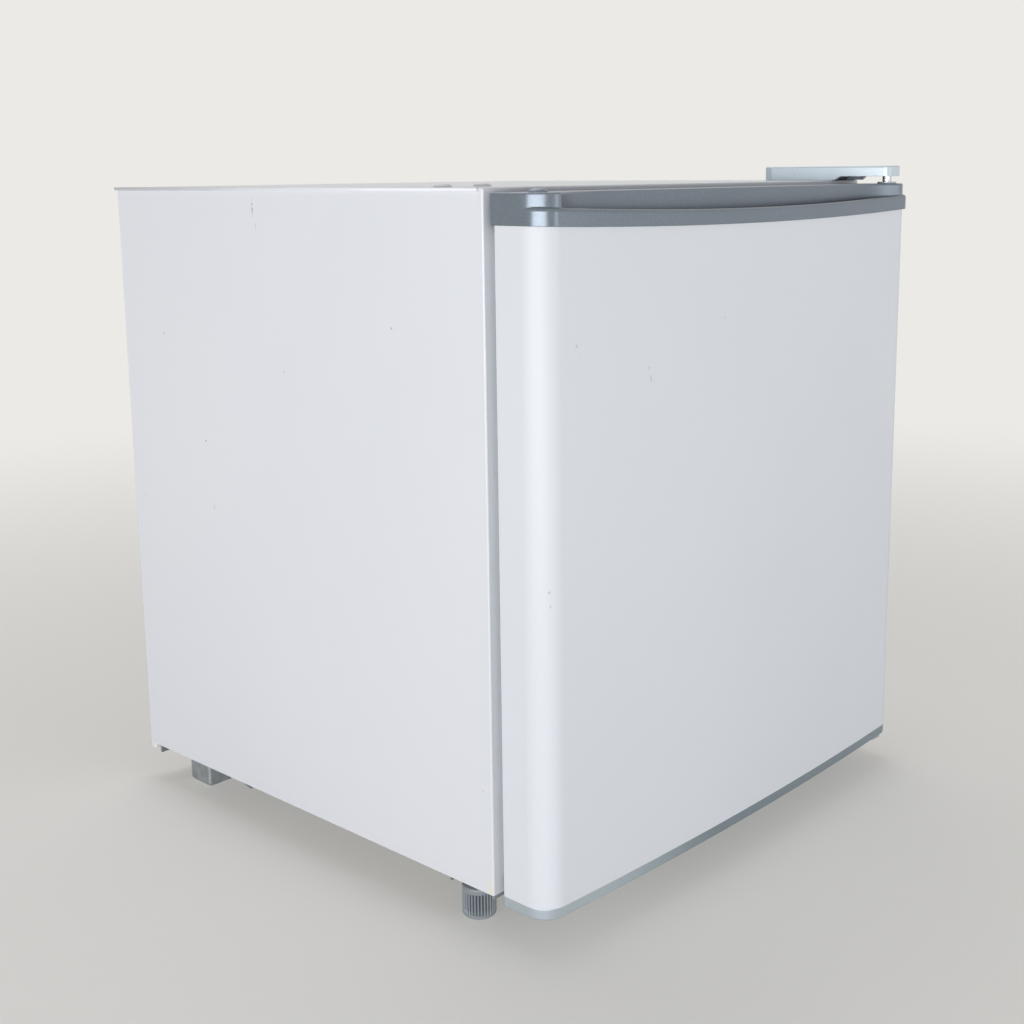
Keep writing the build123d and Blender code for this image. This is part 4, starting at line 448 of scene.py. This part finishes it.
knobLook = {
    "colour": rgb(226, 228, 230), "deeper": rgb(214, 217, 220), "driftScale": 60.0, "roughness": 0.38,
    "grainScale": 1500.0, "grainDepth": 0.00003, "edge": 0.0006, "rub": 0.15, "rubColour": rgb(240, 240, 240),
}
gasketLook = {
    "colour": rgb(198, 201, 204), "deeper": rgb(184, 188, 192), "driftScale": 30.0, "roughness": 0.55,
    "grainScale": 600.0, "grainDepth": 0.00004, "flecks": 0.05, "edge": 0.0006, "rub": 0.0, "glow": 0.08,
    "dust": 0.15,
}
foamLook = {
    "colour": rgb(232, 214, 164), "deeper": rgb(214, 192, 138), "driftScale": 20.0, "roughness": 0.85,
    "grainScale": 260.0, "grainDepth": 0.0004, "bump": 0.8, "flecks": 0.15, "fleckSize": 0.2, "edge": 0.001,
}
wireLook = {
    "colour": rgb(238, 239, 240), "deeper": rgb(228, 230, 232), "driftScale": 30.0, "roughness": 0.21,
    "roughSpread": 0.04, "grainScale": 500.0, "grainDepth": 0.00004, "flecks": 0.05, "fleckScale": 180.0,
    "coat": 0.3, "edge": 0.0003, "rub": 0.0,
}

# silver-grey mouldings
capLook = {
    "colour": rgb(112, 121, 132), "deeper": rgb(106, 116, 128), "driftScale": 9.0, "metallic": 0.8,
    "roughness": 0.29, "roughSpread": 0.04, "grainScale": 1400.0, "grainDepth": 0.00002, "flecks": 0.04,
    "fleckColour": rgb(120, 122, 124), "edge": 0.0007, "rub": 0.2, "rubColour": rgb(176, 183, 190), "dust": 0.1,
    "flake": 2600.0, "flakeShare": 0.2, "flakeColour": rgb(176, 188, 198), "flakeShine": 0.08,
}
# the bottom cap: a paler copy of the cap finish, painted light that stands in for a lamp reflection, and paler still
# toward its low-x end
bottomCapPaintedLightLook = dict(capLook, colour=rgb(140, 154, 163), deeper=rgb(134, 147, 157), paintedLightFrom=-0.18, paintedLightTo=-0.03,
                     paintedLightColour=rgb(196, 207, 216))
coverLook = dict(capLook, colour=rgb(199, 212, 222), deeper=rgb(191, 204, 215), metallic=0.3,
                 flakeColour=rgb(212, 220, 228))


def silverPlastic(name, look):
    tree, shader, colour, shine = baseFinish(name, look)
    colour, shine = flaked(tree, look, colour, shine)
    if "paintedLightColour" in look:
        # painted light: the colour turns paler toward the low-x end
        across = put(tree, "ShaderNodeSeparateXYZ", Vector=objectPlace(tree)).outputs["X"]
        paintedLight = ramp(tree, across, look["paintedLightTo"], look["paintedLightFrom"])
        colour = mixColour(tree, paintedLight, colour, look["paintedLightColour"])
    rewire(tree, shader, colour, shine)


# levelling feet: a ribbed grip, a hollow sole and a threaded stem
footSizes = {
    "ribs": 31, "ribSteps": 8, "ribDepth": 0.00105, "ribEnd": 0.0004, "grooveGain": 1.9, "grooveFrom": 0.35,
    "rim": 0.0026, "grip": 0.023, "gripLevels": (0.3, 0.6, 0.95), "soleRound": 0.0022, "soleSteps": 4,
    "hollow": 0.002, "hollowShare": 0.55, "hollowLip": 0.0003, "hollowRound": 0.0004, "collar": 0.0048,
    "collarStep": 0.0007, "collarRound": 0.0006, "stemRadius": 0.0038, "stemTip": 0.0008, "threadDepth": 0.0005,
    "threadPitch": 0.0015, "threadShares": (0.25, 0.75), "sharpBeyond": 38,
}
footLook = {
    "colour": rgb(142, 150, 157), "deeper": rgb(124, 133, 141), "driftScale": 60.0, "roughness": 0.28,
    "grainScale": 900.0, "grainDepth": 0.00003, "edge": 0.0003, "glow": 0.1, "glowDepth": 0.001, "flecks": 0.12,
    "fleckScale": 260.0, "fleckColour": rgb(104, 106, 106), "dust": 0.2, "rub": 0.2, "rubColour": rgb(190, 196, 202),
    # painted shade: a dark colour laid in the hollows between the ribs
    "grooveShade": 0.92, "grooveShadeColour": rgb(44, 51, 61), "grooveShadeBand": (0.2, 0.38), "grooveShadeFade": 0.001, "collarFade": 0.0004,
}


def footPlastic():
    # the hollows between the ribs are painted darker: painted shade in the grooves
    look, size = footLook, footSizes
    tree, shader, colour, shine = baseFinish("foot_plastic", look)
    low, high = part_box("right_foot")
    middle = (low + high) / 2
    apart = put(tree, "ShaderNodeSeparateXYZ", Vector=objectPlace(tree)).outputs
    across = sums(tree, "SUBTRACT", sums(tree, "ABSOLUTE", apart["X"]), middle.x)
    along = sums(tree, "SUBTRACT", apart["Y"], middle.y)
    turn = sums(tree, "DIVIDE", sums(tree, "ARCTAN2", along, across), 2 * pi / size["ribs"])
    wave = sums(tree, "ABSOLUTE", sums(tree, "SUBTRACT", sums(tree, "FRACT", turn), 0.5))
    hollow = ramp(tree, wave, *look["grooveShadeBand"])
    gripTop = size["grip"] - size["collar"]
    overRim = ramp(tree, apart["Z"], size["rim"], size["rim"] + look["grooveShadeFade"])
    underCollar = ramp(tree, apart["Z"], gripTop + look["collarFade"], gripTop - look["collarFade"])
    # painted shade: darker in the rib hollows between the rim and the collar
    grooveShade = sums(tree, "MULTIPLY", hollow, sums(tree, "MULTIPLY", overRim, underCollar))
    grooveShade = sums(tree, "MULTIPLY", grooveShade, look["grooveShade"])
    rewire(tree, shader, mixColour(tree, grooveShade, colour, look["grooveShadeColour"]))


# finishes that need no more than the shared steps
simpleLooks = {
    "zinc": zincLook, "pin_chrome": chromeLook, "pipe_steel": pipeSteelLook, "black_plastic": blackPlasticLook,
    "rubber": rubberLook, "magnet": magnetLook, "liner_plastic": linerLook, "white_plastic": whitePlasticLook,
    "flap_plastic": flapLook, "tray_plastic": trayLook, "rack_plastic": rackLook, "knob_plastic": knobLook,
    "gasket_rubber": gasketLook, "foam": foamLook, "shelf_wire": wireLook,
}

cabinetPaint()
doorPaint()
backPaint()
galvanised()
copper()
linedShine("evaporator_aluminium", aluminiumLook)
linedShine("compressor_black", enamelLook)
for name, look in simpleLooks.items():
    baseFinish(name, look)
silverPlastic("cap_plastic", capLook)
silverPlastic("bottom_cap_plastic", bottomCapPaintedLightLook)
silverPlastic("silver_plastic", coverLook)
footPlastic()
print("finishes made:", len(finishes))


# mesh tools
slotOf = {part["node"]: part["material_slot"] for part in frame["record"]["subparts"]}
tolerances = {"cut": 1e-7, "join": 1e-6, "level": 1e-5, "emptyFace": 1e-12}


def finishPiece(name, shape, body, slot, replaces=(), smooth=True):
    mesh = bpy.data.meshes.new(name)
    bmesh.ops.recalc_face_normals(shape, faces=shape.faces)
    shape.to_mesh(mesh)
    shape.free()
    for face in mesh.polygons:
        face.use_smooth = smooth
    mesh.materials.append(finishes[slot])
    made = bpy.data.objects.new(name, mesh)
    bpy.context.scene.collection.objects.link(made)
    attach(made, body)
    if replaces:
        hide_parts(*replaces)
    return made


def skinRings(shape, rings, firstEnd=True, lastEnd=True):
    # faces from each ring of points to the next, and over the ends
    for lower, upper in zip(rings, rings[1:]):
        for step in range(len(lower)):
            after = (step + 1) % len(lower)
            shape.faces.new((lower[step], lower[after], upper[after], upper[step]))
    if firstEnd:
        shape.faces.new(rings[0][::-1])
    if lastEnd:
        shape.faces.new(rings[-1])


def drawInto(shape, data, placed=None):
    # adds what a text or a curve draws to a shape, and removes the text or curve
    holder = bpy.data.objects.new(data.name, data)
    bpy.context.scene.collection.objects.link(holder)
    drawn = holder.evaluated_get(bpy.context.evaluated_depsgraph_get()).to_mesh()
    if placed is not None:
        drawn.transform(placed)
    shape.from_mesh(drawn)
    holder.to_mesh_clear()
    bpy.data.objects.remove(holder)
    bpy.data.curves.remove(data)


def creaseBeyond(shape, angle):
    # edges that turn more than the angle are drawn as sharp
    for edge in shape.edges:
        if len(edge.link_faces) == 2 and edge.calc_face_angle(0.0) > angle:
            edge.smooth = False


def keepSide(shape, point, normal):
    # keeps what lies behind a plane
    every = shape.verts[:] + shape.edges[:] + shape.faces[:]
    bmesh.ops.bisect_plane(shape, geom=every, dist=tolerances["cut"], plane_co=point, plane_no=normal,
                           clear_outer=True)


# painted cabinet shell: two sides and a top, folded from thin sheet
shellSizes = {
    "sheet": 0.0007, "fold": 0.0013, "foldSteps": 5, "sideFlange": 0.028, "topFlange": 0.037, "rearFlange": 0.014,
    "seam": 0.00025, "rearOverhang": 0.0015, "rearLip": 0.0024, "seamShift": 0.0006,
    "proud": 0.0002,  # the side flanges lie over the base panel
}


def shellBox():
    # the closed outside of the cabinet with rounded folds, open below
    size = shellSizes
    side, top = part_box("left_side_panel"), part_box("top_panel")
    low = Vector((side[0].x, side[0].y - size["proud"], side[0].z))
    high = Vector((-side[0].x, side[1].y, top[1].z))
    shape = bmesh.new()
    bmesh.ops.create_cube(shape, size=1.0)
    for vert in shape.verts:
        vert.co = Vector((low[axis] + (vert.co[axis] + 0.5) * (high[axis] - low[axis]) for axis in range(3)))
    below = [face for face in shape.faces if face.normal.z < -0.5]
    bmesh.ops.delete(shape, geom=below, context="FACES_ONLY")
    folds = [edge for edge in shape.edges if len(edge.link_faces) == 2]
    bmesh.ops.bevel(shape, geom=folds, offset=size["fold"], segments=size["foldSteps"], profile=0.5,
                    affect="EDGES", clamp_overlap=False)
    return shape, low, high


def openFace(shape, level, sideInset, topInset, low, high):
    # cuts a window, open below, through the face that lies at a level of y
    lowX, highX, highZ = low.x + sideInset, high.x - sideInset, high.z - topInset
    for point, normal in (((lowX, 0, 0), (1, 0, 0)), ((highX, 0, 0), (1, 0, 0)), ((0, 0, highZ), (0, 0, 1))):
        near = [face for face in shape.faces if abs(face.calc_center_median().y - level) < tolerances["level"]]
        geometry = near + list({edge for face in near for edge in face.edges})
        geometry += list({vert for face in near for vert in face.verts})
        bmesh.ops.bisect_plane(shape, geom=geometry, dist=tolerances["cut"], plane_co=point, plane_no=normal)
    hole = []
    for face in shape.faces:
        middle = face.calc_center_median()
        if abs(middle.y - level) < tolerances["level"] and lowX < middle.x < highX and middle.z < highZ:
            hole.append(face)
    bmesh.ops.delete(shape, geom=hole, context="FACES")


def cabinetShell():
    size = shellSizes
    parts = (("cabinet_left_side", "left_side_panel", -1), ("cabinet_top", "top_panel", 0),
             ("cabinet_right_side", "right_side_panel", 1))
    for name, node, side in parts:
        shape, low, high = shellBox()
        openFace(shape, low.y, size["sideFlange"], size["topFlange"], low, high)
        openFace(shape, high.y, size["rearFlange"], size["rearLip"], low, high)
        for turn in (-1, 1):
            # the seam between a side and the top lies on a slope through the fold
            corner = Vector((turn * high.x, 0, high.z + size["seamShift"]))
            outward = Vector((turn, 0, -1)).normalized()
            half = outward * size["seam"] / 2
            if side == 0:
                keepSide(shape, corner - half, outward)
            elif side == turn:
                keepSide(shape, corner + half, -outward)
                keepSide(shape, Vector((0, 0, 0)), Vector((-turn, 0, 0)))
        if side == 0:
            for vert in shape.verts:
                if vert.co.y > high.y - 2 * size["fold"]:
                    vert.co.y += size["rearOverhang"]
        bmesh.ops.remove_doubles(shape, verts=shape.verts, dist=tolerances["join"])
        empty = [face for face in shape.faces if face.calc_area() < tolerances["emptyFace"]]
        bmesh.ops.delete(shape, geom=empty, context="FACES")
        piece = finishPiece(name, shape, "cabinet", "cabinet_paint", (node,))
        metal = piece.modifiers.new("metal", "SOLIDIFY")
        metal.thickness = size["sheet"]
        metal.offset = -1.0
        metal.use_even_offset = True
        piece.modifiers.new("evenNormals", "WEIGHTED_NORMAL").keep_sharp = True


cabinetShell()
print("cabinet shell made")


# the small lips by which the top sheet overhangs the sides
topLips = {
    # the outline, outward and upward of the side's top edge
    "outline": ((-0.0015, 0.00003), (0.0009, 0.00003), (0.00125, -0.00006), (0.00144, -0.00025), (0.0015, -0.0006),
                (0.0015, -0.0021), (0.00141, -0.00232), (0.0012, -0.0024), (-0.0003, -0.0024), (-0.0003, -0.0003),
                (-0.0015, -0.0003)),
    "start": 0.0037, "sharpBeyond": 40,
}


def overhangingLips():
    size = topLips
    low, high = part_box("top_panel")
    edge = -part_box("left_side_panel")[0].x
    shape = bmesh.new()
    for side in (-1, 1):
        skinRings(shape, [[shape.verts.new((side * (edge + out), y, high.z + up)) for out, up in size["outline"]]
                          for y in (low.y + size["start"], high.y)])
    creaseBeyond(shape, radians(size["sharpBeyond"]))
    finishPiece("cabinet_top_lips", shape, "cabinet", "cabinet_paint")


overhangingLips()
print("top lips made")


# levelling feet, with the sizes that their finish uses too
def footProfile(radius, height):
    # (radius, height, share of rib) from the middle of the sole up to the tip of the stem
    size = footSizes
    hollow, gripTop = radius * size["hollowShare"], size["grip"] - size["collar"]
    stem, level = size["stemRadius"], size["grip"]
    line = [(hollow, size["hollow"], 0), (hollow, size["hollowLip"], 0), (hollow + size["hollowRound"], 0.0, 0)]
    for step in range(size["soleSteps"] + 1):
        turn = radians(90 * step / size["soleSteps"])
        inset = size["soleRound"] * (1 - sin(turn))
        line.append((radius - inset, size["soleRound"] * (1 - cos(turn)), 0))
    line += [(radius, size["rim"], 0), (radius, size["rim"] + size["ribEnd"], 1)]
    line += [(radius, size["rim"] + (gripTop - size["rim"]) * share, 1) for share in size["gripLevels"]]
    line += [(radius, gripTop, 1), (radius, gripTop + size["collarStep"], 0), (radius, level - size["collarRound"], 0),
             (radius - size["collarRound"], level, 0), (stem, level, 0)]
    while level < height - size["threadPitch"]:
        low, high = (level + size["threadPitch"] * share for share in size["threadShares"])
        line += [(stem - size["threadDepth"], low, 0), (stem, high, 0)]
        level += size["threadPitch"]
    return line + [(stem - size["stemTip"], height, 0)]


def levellingFoot(node):
    size = footSizes
    low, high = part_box(node)
    middle = (low + high) / 2
    mirror = 1 if middle.x > 0 else -1
    around = size["ribs"] * size["ribSteps"]
    shape = bmesh.new()
    rings = []
    for reach, level, share in footProfile((high.x - low.x) / 2, high.z - low.z):
        ring = []
        for step in range(around):
            turn = 2 * pi * step / around
            wave = (step % size["ribSteps"]) / size["ribSteps"]
            groove = min(1.0, max(0.0, size["grooveGain"] * abs(2 * wave - 1) - size["grooveFrom"]))
            grown = reach - share * size["ribDepth"] * groove
            across = middle.x + mirror * grown * cos(turn)
            ring.append(shape.verts.new((across, middle.y + grown * sin(turn), low.z + level)))
        rings.append(ring)
    skinRings(shape, rings)
    creaseBeyond(shape, radians(size["sharpBeyond"]))
    finishPiece(node + "_ribbed", shape, node, "foot_plastic", (node,))


for node in ("left_foot", "right_foot"):
    levellingFoot(node)
print("feet made")


# numbers, ticks and a pointer on the thermostat
dialSizes = {
    "numbers": "01234567", "numberSize": 0.0048, "from": -128.0, "to": 128.0, "apart": 0.0054, "raised": 0.00022,
    "sunk": 0.00012, "tick": (0.0005, 0.0019), "tickShift": 0.8, "pointer": (0.0015, 0.0015),
    "pointerFrom": 0.0052, "pointerTo": 0.7, "pointerSunk": 0.00165,
    "barRows": ((0.0, 0.0), (0.7, 0.0), (1.0, 0.3)),  # shares of the height: level, and inset of its outline
}


def raisedBar(shape, middle, across, along, outward, sizes):
    # a bar with a narrower top, lying along a direction
    width, length, height = sizes
    skinRings(shape, [[shape.verts.new(middle + across * side * (width / 2 - height * inset)
                                       + along * end * (length / 2 - height * inset) + outward * height * level)
                       for side, end in ((-1, -1), (1, -1), (1, 1), (-1, 1))]
                      for level, inset in dialSizes["barRows"]])


def dialNumbers():
    size = dialSizes
    low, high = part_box("thermostat_knob")
    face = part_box("thermostat_housing")[0].y
    middle, radius = (low + high) / 2, (high.x - low.x) / 2
    shape = bmesh.new()
    for count, number in enumerate(size["numbers"]):
        turn = radians(size["from"] + (size["to"] - size["from"]) * count / (len(size["numbers"]) - 1))
        outward, sideways = Vector((sin(turn), 0, cos(turn))), Vector((cos(turn), 0, -sin(turn)))
        text = bpy.data.curves.new("number", "FONT")
        text.body = number
        text.size = size["numberSize"]
        text.align_x, text.align_y = "CENTER", "CENTER"
        text.extrude = (size["raised"] + size["sunk"]) / 2
        at = Vector((middle.x, face - (size["raised"] - size["sunk"]) / 2, middle.z))
        at = at + outward * (radius + size["apart"])
        drawInto(shape, text, Matrix.Translation(at) @ Matrix.Rotation(radians(90), 4, "X"))
        start = Vector((middle.x, face + size["sunk"], middle.z))
        start = start + outward * (radius + size["tick"][1] * size["tickShift"])
        raisedBar(shape, start, sideways, outward, Vector((0, -1, 0)), (*size["tick"], size["raised"] + size["sunk"]))
    bmesh.ops.remove_doubles(shape, verts=shape.verts, dist=tolerances["join"])
    finishPiece("thermostat_numbers", shape, "cabinet", "black_plastic", smooth=False)


def pointerLine():
    # the line fills the notch in the finger bar
    size = dialSizes
    low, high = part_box("thermostat_knob")
    width, height = size["pointer"]
    length = (high.x - low.x) / 2 * size["pointerTo"] - size["pointerFrom"]
    start = Vector(((low.x + high.x) / 2, low.y + size["pointerSunk"],
                    (low.z + high.z) / 2 + size["pointerFrom"] + length / 2))
    shape = bmesh.new()
    raisedBar(shape, start, Vector((1, 0, 0)), Vector((0, 0, 1)), Vector((0, -1, 0)), (width, length, height))
    finishPiece("thermostat_pointer", shape, "thermostat_knob", "black_plastic", smooth=False)


dialNumbers()
pointerLine()
print("dial marked")


# raised coolant channels under the freezer box
channelSizes = {"radius": 0.0021, "sunk": 0.0009, "rows": 6, "edge": 0.017, "bend": 0.012, "bendSteps": 8,
                "roundness": 4, "bendShare": 2.01}


def roundedRoute(points, bend, steps):
    # a route whose corners are arcs; no bend takes up more than half of a run
    route = [points[0]]
    for before, corner, after in zip(points, points[1:], points[2:]):
        back, onward = before - corner, after - corner
        reach = min(bend, back.length / channelSizes["bendShare"], onward.length / channelSizes["bendShare"])
        start, end = corner + back.normalized() * reach, corner + onward.normalized() * reach
        for step in range(steps + 1):
            share = step / steps
            route.append(start * (1 - share) ** 2 + corner * 2 * share * (1 - share) + end * share ** 2)
    return route + [points[-1]]


def routeTube(name, points, radius, body, slot):
    curve = bpy.data.curves.new(name, "CURVE")
    curve.dimensions = "3D"
    curve.bevel_depth, curve.bevel_resolution, curve.use_fill_caps = radius, channelSizes["roundness"], True
    line = curve.splines.new("POLY")
    line.points.add(len(points) - 1)
    for point, place in zip(line.points, points):
        point.co = (*place, 1)
    shape = bmesh.new()
    drawInto(shape, curve)
    bmesh.ops.remove_doubles(shape, verts=shape.verts, dist=tolerances["cut"])
    finishPiece(name, shape, body, slot)


def coolantChannels():
    size = channelSizes
    low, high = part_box("evaporator")
    level = low.z + size["sunk"]
    left, right = low.x + size["edge"], high.x - size["edge"]
    points = []
    for row in range(size["rows"]):
        y = low.y + size["edge"] + (high.y - low.y - 2 * size["edge"]) * row / (size["rows"] - 1)
        ends = (left, right) if row % 2 == 0 else (right, left)
        points += [Vector((end, y, level)) for end in ends]
    route = roundedRoute(points, size["bend"], size["bendSteps"])
    routeTube("evaporator_channels", route, size["radius"], "cabinet", "evaporator_aluminium")


coolantChannels()
print("coolant channels made")


# screws that hold the back panel
screwSizes = {
    "radius": 0.0036, "height": 0.00125, "domeSteps": 5, "domeTurn": 75, "washer": 0.0048, "washerHeight": 0.0004,
    "washerRound": 0.0003, "washerRoundFrom": 0.6, "washerSunk": 0.0004, "steps": 28, "crossWide": 0.0009,
    "crossLong": 0.0021, "crossDeep": 0.0009, "crossLevel": 0.93, "crossTaper": 0.7, "turnEach": 0.35,
    "inset": 0.006, "rows": (0.05, 0.48, 0.91),
}


def screwHead(shape, x, y, z, turned):
    # a round head on a washer, with a sunk cross in its middle
    size = screwSizes
    base, rise = size["washerHeight"], size["height"] - size["washerHeight"]
    outline = [(size["washer"], -size["washerSunk"]), (size["washer"], base * size["washerRoundFrom"]),
               (size["washer"] - size["washerRound"], base), (size["radius"], base)]
    for step in range(size["domeSteps"] + 1):
        turn = radians(size["domeTurn"] * step / size["domeSteps"])
        outline.append((size["radius"] * cos(turn), base + rise * sin(turn)))
    turns = [2 * pi * step / size["steps"] for step in range(size["steps"])]
    skinRings(shape, [[shape.verts.new((x + reach * cos(turn), y + level, z + reach * sin(turn))) for turn in turns]
                      for reach, level in outline], lastEnd=False)
    half = size["crossWide"] / 2
    star = []
    for arm in range(4):
        along = turned + pi / 2 * arm
        star += [(u * cos(along) - v * sin(along), u * sin(along) + v * cos(along))
                 for u, v in ((size["crossLong"], -half), (size["crossLong"], half), (half, half))]
    rows = ((1.0, size["height"] * size["crossLevel"]), (size["crossTaper"], size["height"] - size["crossDeep"]))
    skinRings(shape, [[shape.verts.new((x + u * share, y + level, z + v * share)) for u, v in star]
                      for share, level in rows], firstEnd=False)
    rims = [edge for edge in shape.edges if len(edge.link_faces) == 1]
    bmesh.ops.bridge_loops(shape, edges=rims)


def panelScrews():
    size = screwSizes
    low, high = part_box("back_panel")
    places = []
    for share in size["rows"]:
        z = low.z + (high.z - low.z) * share
        places += [(low.x + size["inset"], z), (high.x - size["inset"], z)]
    places += [((low.x + high.x) / 2, high.z - size["inset"])]
    shape = bmesh.new()
    for number, (x, z) in enumerate(places):
        screwHead(shape, x, high.y, z, size["turnEach"] * number)
    finishPiece("back_panel_screws", shape, "cabinet", "zinc", smooth=False)


panelScrews()
print("screws made")


# small webs where the liner's square mouth meets its round walls
linerWebs = {"half": 0.1885, "levels": (0.068, 0.4514), "front": -0.17495, "rear": -0.1731, "radius": 0.0098,
             "from": 12, "to": 78, "steps": 10, "sunk": 0.0003}


def linerCorners():
    size = linerWebs
    radius, sunk = size["radius"], size["sunk"]
    turns = [radians(size["from"] + (size["to"] - size["from"]) * step / size["steps"])
             for step in range(size["steps"] + 1)]
    arc = [(radius * (cos(turn) - 1), radius * (sin(turn) - 1)) for turn in turns]
    outline = arc + [(arc[-1][0], sunk), (sunk, sunk), (sunk, arc[0][1])]
    shape = bmesh.new()
    for side in (-1, 1):
        for level, upward in zip(size["levels"], (-1, 1)):
            skinRings(shape, [[shape.verts.new((side * (size["half"] + u), y, level + upward * v)) for u, v in outline]
                              for y in (size["front"], size["rear"])])
    finishPiece("liner_corner_webs", shape, "cabinet", "liner_plastic", smooth=False)


linerCorners()
print("liner corners closed")


for name, node in frame["nodes"].items():
    for place in node.material_slots:
        place.material = finishes[slotOf[name]]
print("finishes placed")


# stage, light and camera
stageLook = {
    "floor": rgb(234, 232, 228), "floorHalf": 14.0, "floorParts": 24, "floorRoughness": 0.6,
    "far": rgb(236, 234, 230), "fadeFrom": 0.3, "fadeTo": 2.0, "least": 0.32,
    "sky": (0.96, 0.98, 1.0, 1), "skyStrength": 0.32,
}


def paleFloor():
    # the floor's own light takes over with the distance, so that its far edge can't be seen
    look = stageLook
    mesh = bpy.data.meshes.new("floor")
    shape = bmesh.new()
    bmesh.ops.create_grid(shape, x_segments=look["floorParts"], y_segments=look["floorParts"],
                          size=look["floorHalf"])
    shape.to_mesh(mesh)
    shape.free()
    floor = bpy.data.objects.new("floor", mesh)
    bpy.context.scene.collection.objects.link(floor)
    material = bpy.data.materials.new("paleFloor")
    material.use_nodes = True
    tree = material.node_tree
    shader = tree.nodes["Principled BSDF"]
    shader.inputs["Roughness"].default_value = look["floorRoughness"]
    shader.inputs["Base Color"].default_value = look["floor"]
    distance = vectorSums(tree, "LENGTH", objectPlace(tree)).outputs["Value"]
    away = ramp(tree, distance, look["fadeFrom"], look["fadeTo"])
    away = sums(tree, "MULTIPLY_ADD", away, 1.0 - look["least"], look["least"])
    glow = put(tree, "ShaderNodeEmission", Strength=1.0, Color=look["far"])
    mixed = put(tree, "ShaderNodeMixShader", {0: away, 1: shader.outputs[0], 2: glow.outputs[0]})
    feed(tree, tree.nodes["Material Output"].inputs["Surface"], mixed.outputs[0])
    mesh.materials.append(material)


def skyLight():
    # a dim sky lights the part, while the camera and mirroring surfaces see the pale backdrop
    world = bpy.data.worlds.new("softRoom")
    bpy.context.scene.world = world
    world.use_nodes = True
    tree = world.node_tree
    lit = tree.nodes["Background"]
    lit.inputs["Color"].default_value = stageLook["sky"]
    lit.inputs["Strength"].default_value = stageLook["skyStrength"]
    seen = put(tree, "ShaderNodeBackground", Color=stageLook["far"], Strength=1.0)
    path = put(tree, "ShaderNodeLightPath").outputs
    shown = sums(tree, "MAXIMUM", path["Is Camera Ray"],
                 sums(tree, "MAXIMUM", path["Is Glossy Ray"], path["Is Transmission Ray"]))
    mixed = put(tree, "ShaderNodeMixShader", {0: shown, 1: lit.outputs[0], 2: seen.outputs[0]})
    feed(tree, tree.nodes["World Output"].inputs["Surface"], mixed.outputs[0])


lamps = {
    "diagonal": {"at": (-2.12, -1.26, 0.3), "size": (3.05, 0.54), "power": 37.2, "colour": (1.0, 0.99, 0.98)},
    "front": {"at": (0.8, -2.15, 0.34), "size": (0.4, 0.4), "power": 2.3, "colour": (1.0, 1.0, 1.0)},
    "overhead": {"at": (0.45, 0.9, 2.5), "size": (1.8, 1.4), "power": 16.0, "colour": (0.98, 0.99, 1.0)},
    "rightFill": {"at": (2.2, -1.4, 0.6), "size": (1.4, 1.8), "power": 1.2, "colour": (0.96, 0.98, 1.0)},
    "lowFill": {"at": (0.5, -1.3, 0.075), "size": (1.2, 0.14), "power": 1.15, "colour": (0.96, 0.98, 1.0),
                "mirrored": False},
}
lampsAimAt = Vector((0, 0, 0.25))


def softLamps():
    for name, lamp in lamps.items():
        data = bpy.data.lights.new(name, "AREA")
        data.shape = "RECTANGLE"
        data.size, data.size_y = lamp["size"]
        data.energy = lamp["power"]
        data.color = lamp["colour"]
        placed = bpy.data.objects.new(name, data)
        bpy.context.scene.collection.objects.link(placed)
        placed.location = lamp["at"]
        placed.visible_glossy = lamp.get("mirrored", True)
        placed.rotation_euler = (lampsAimAt - Vector(lamp["at"])).to_track_quat("-Z", "Y").to_euler()


cameraView = {
    "at": (-0.8563, -0.79855, 0.5026), "heading": 47.543, "down": 10.618, "roll": -0.551, "lens": 50.70,
    "shift": (-0.0243, -0.0685),
}


def viewpoint():
    look = cameraView
    heading, down, roll = radians(look["heading"]), radians(look["down"]), radians(look["roll"])
    ahead = Vector((sin(heading) * cos(down), cos(heading) * cos(down), -sin(down)))
    right = ahead.cross(Vector((0, 0, 1))).normalized()
    up = right.cross(ahead)
    level, upright = cos(roll) * right + sin(roll) * up, -sin(roll) * right + cos(roll) * up
    data = bpy.data.cameras.new("camera")
    data.lens = look["lens"]
    data.shift_x, data.shift_y = look["shift"]
    camera = bpy.data.objects.new("camera", data)
    bpy.context.scene.collection.objects.link(camera)
    turn = Matrix((level, upright, -ahead)).transposed()
    camera.matrix_world = Matrix.Translation(look["at"]) @ turn.to_4x4()
    bpy.context.scene.camera = camera


paleFloor()
skyLight()
softLamps()
viewpoint()
bpy.context.scene.view_settings.view_transform = "Standard"
print("stage, lamps and camera set")
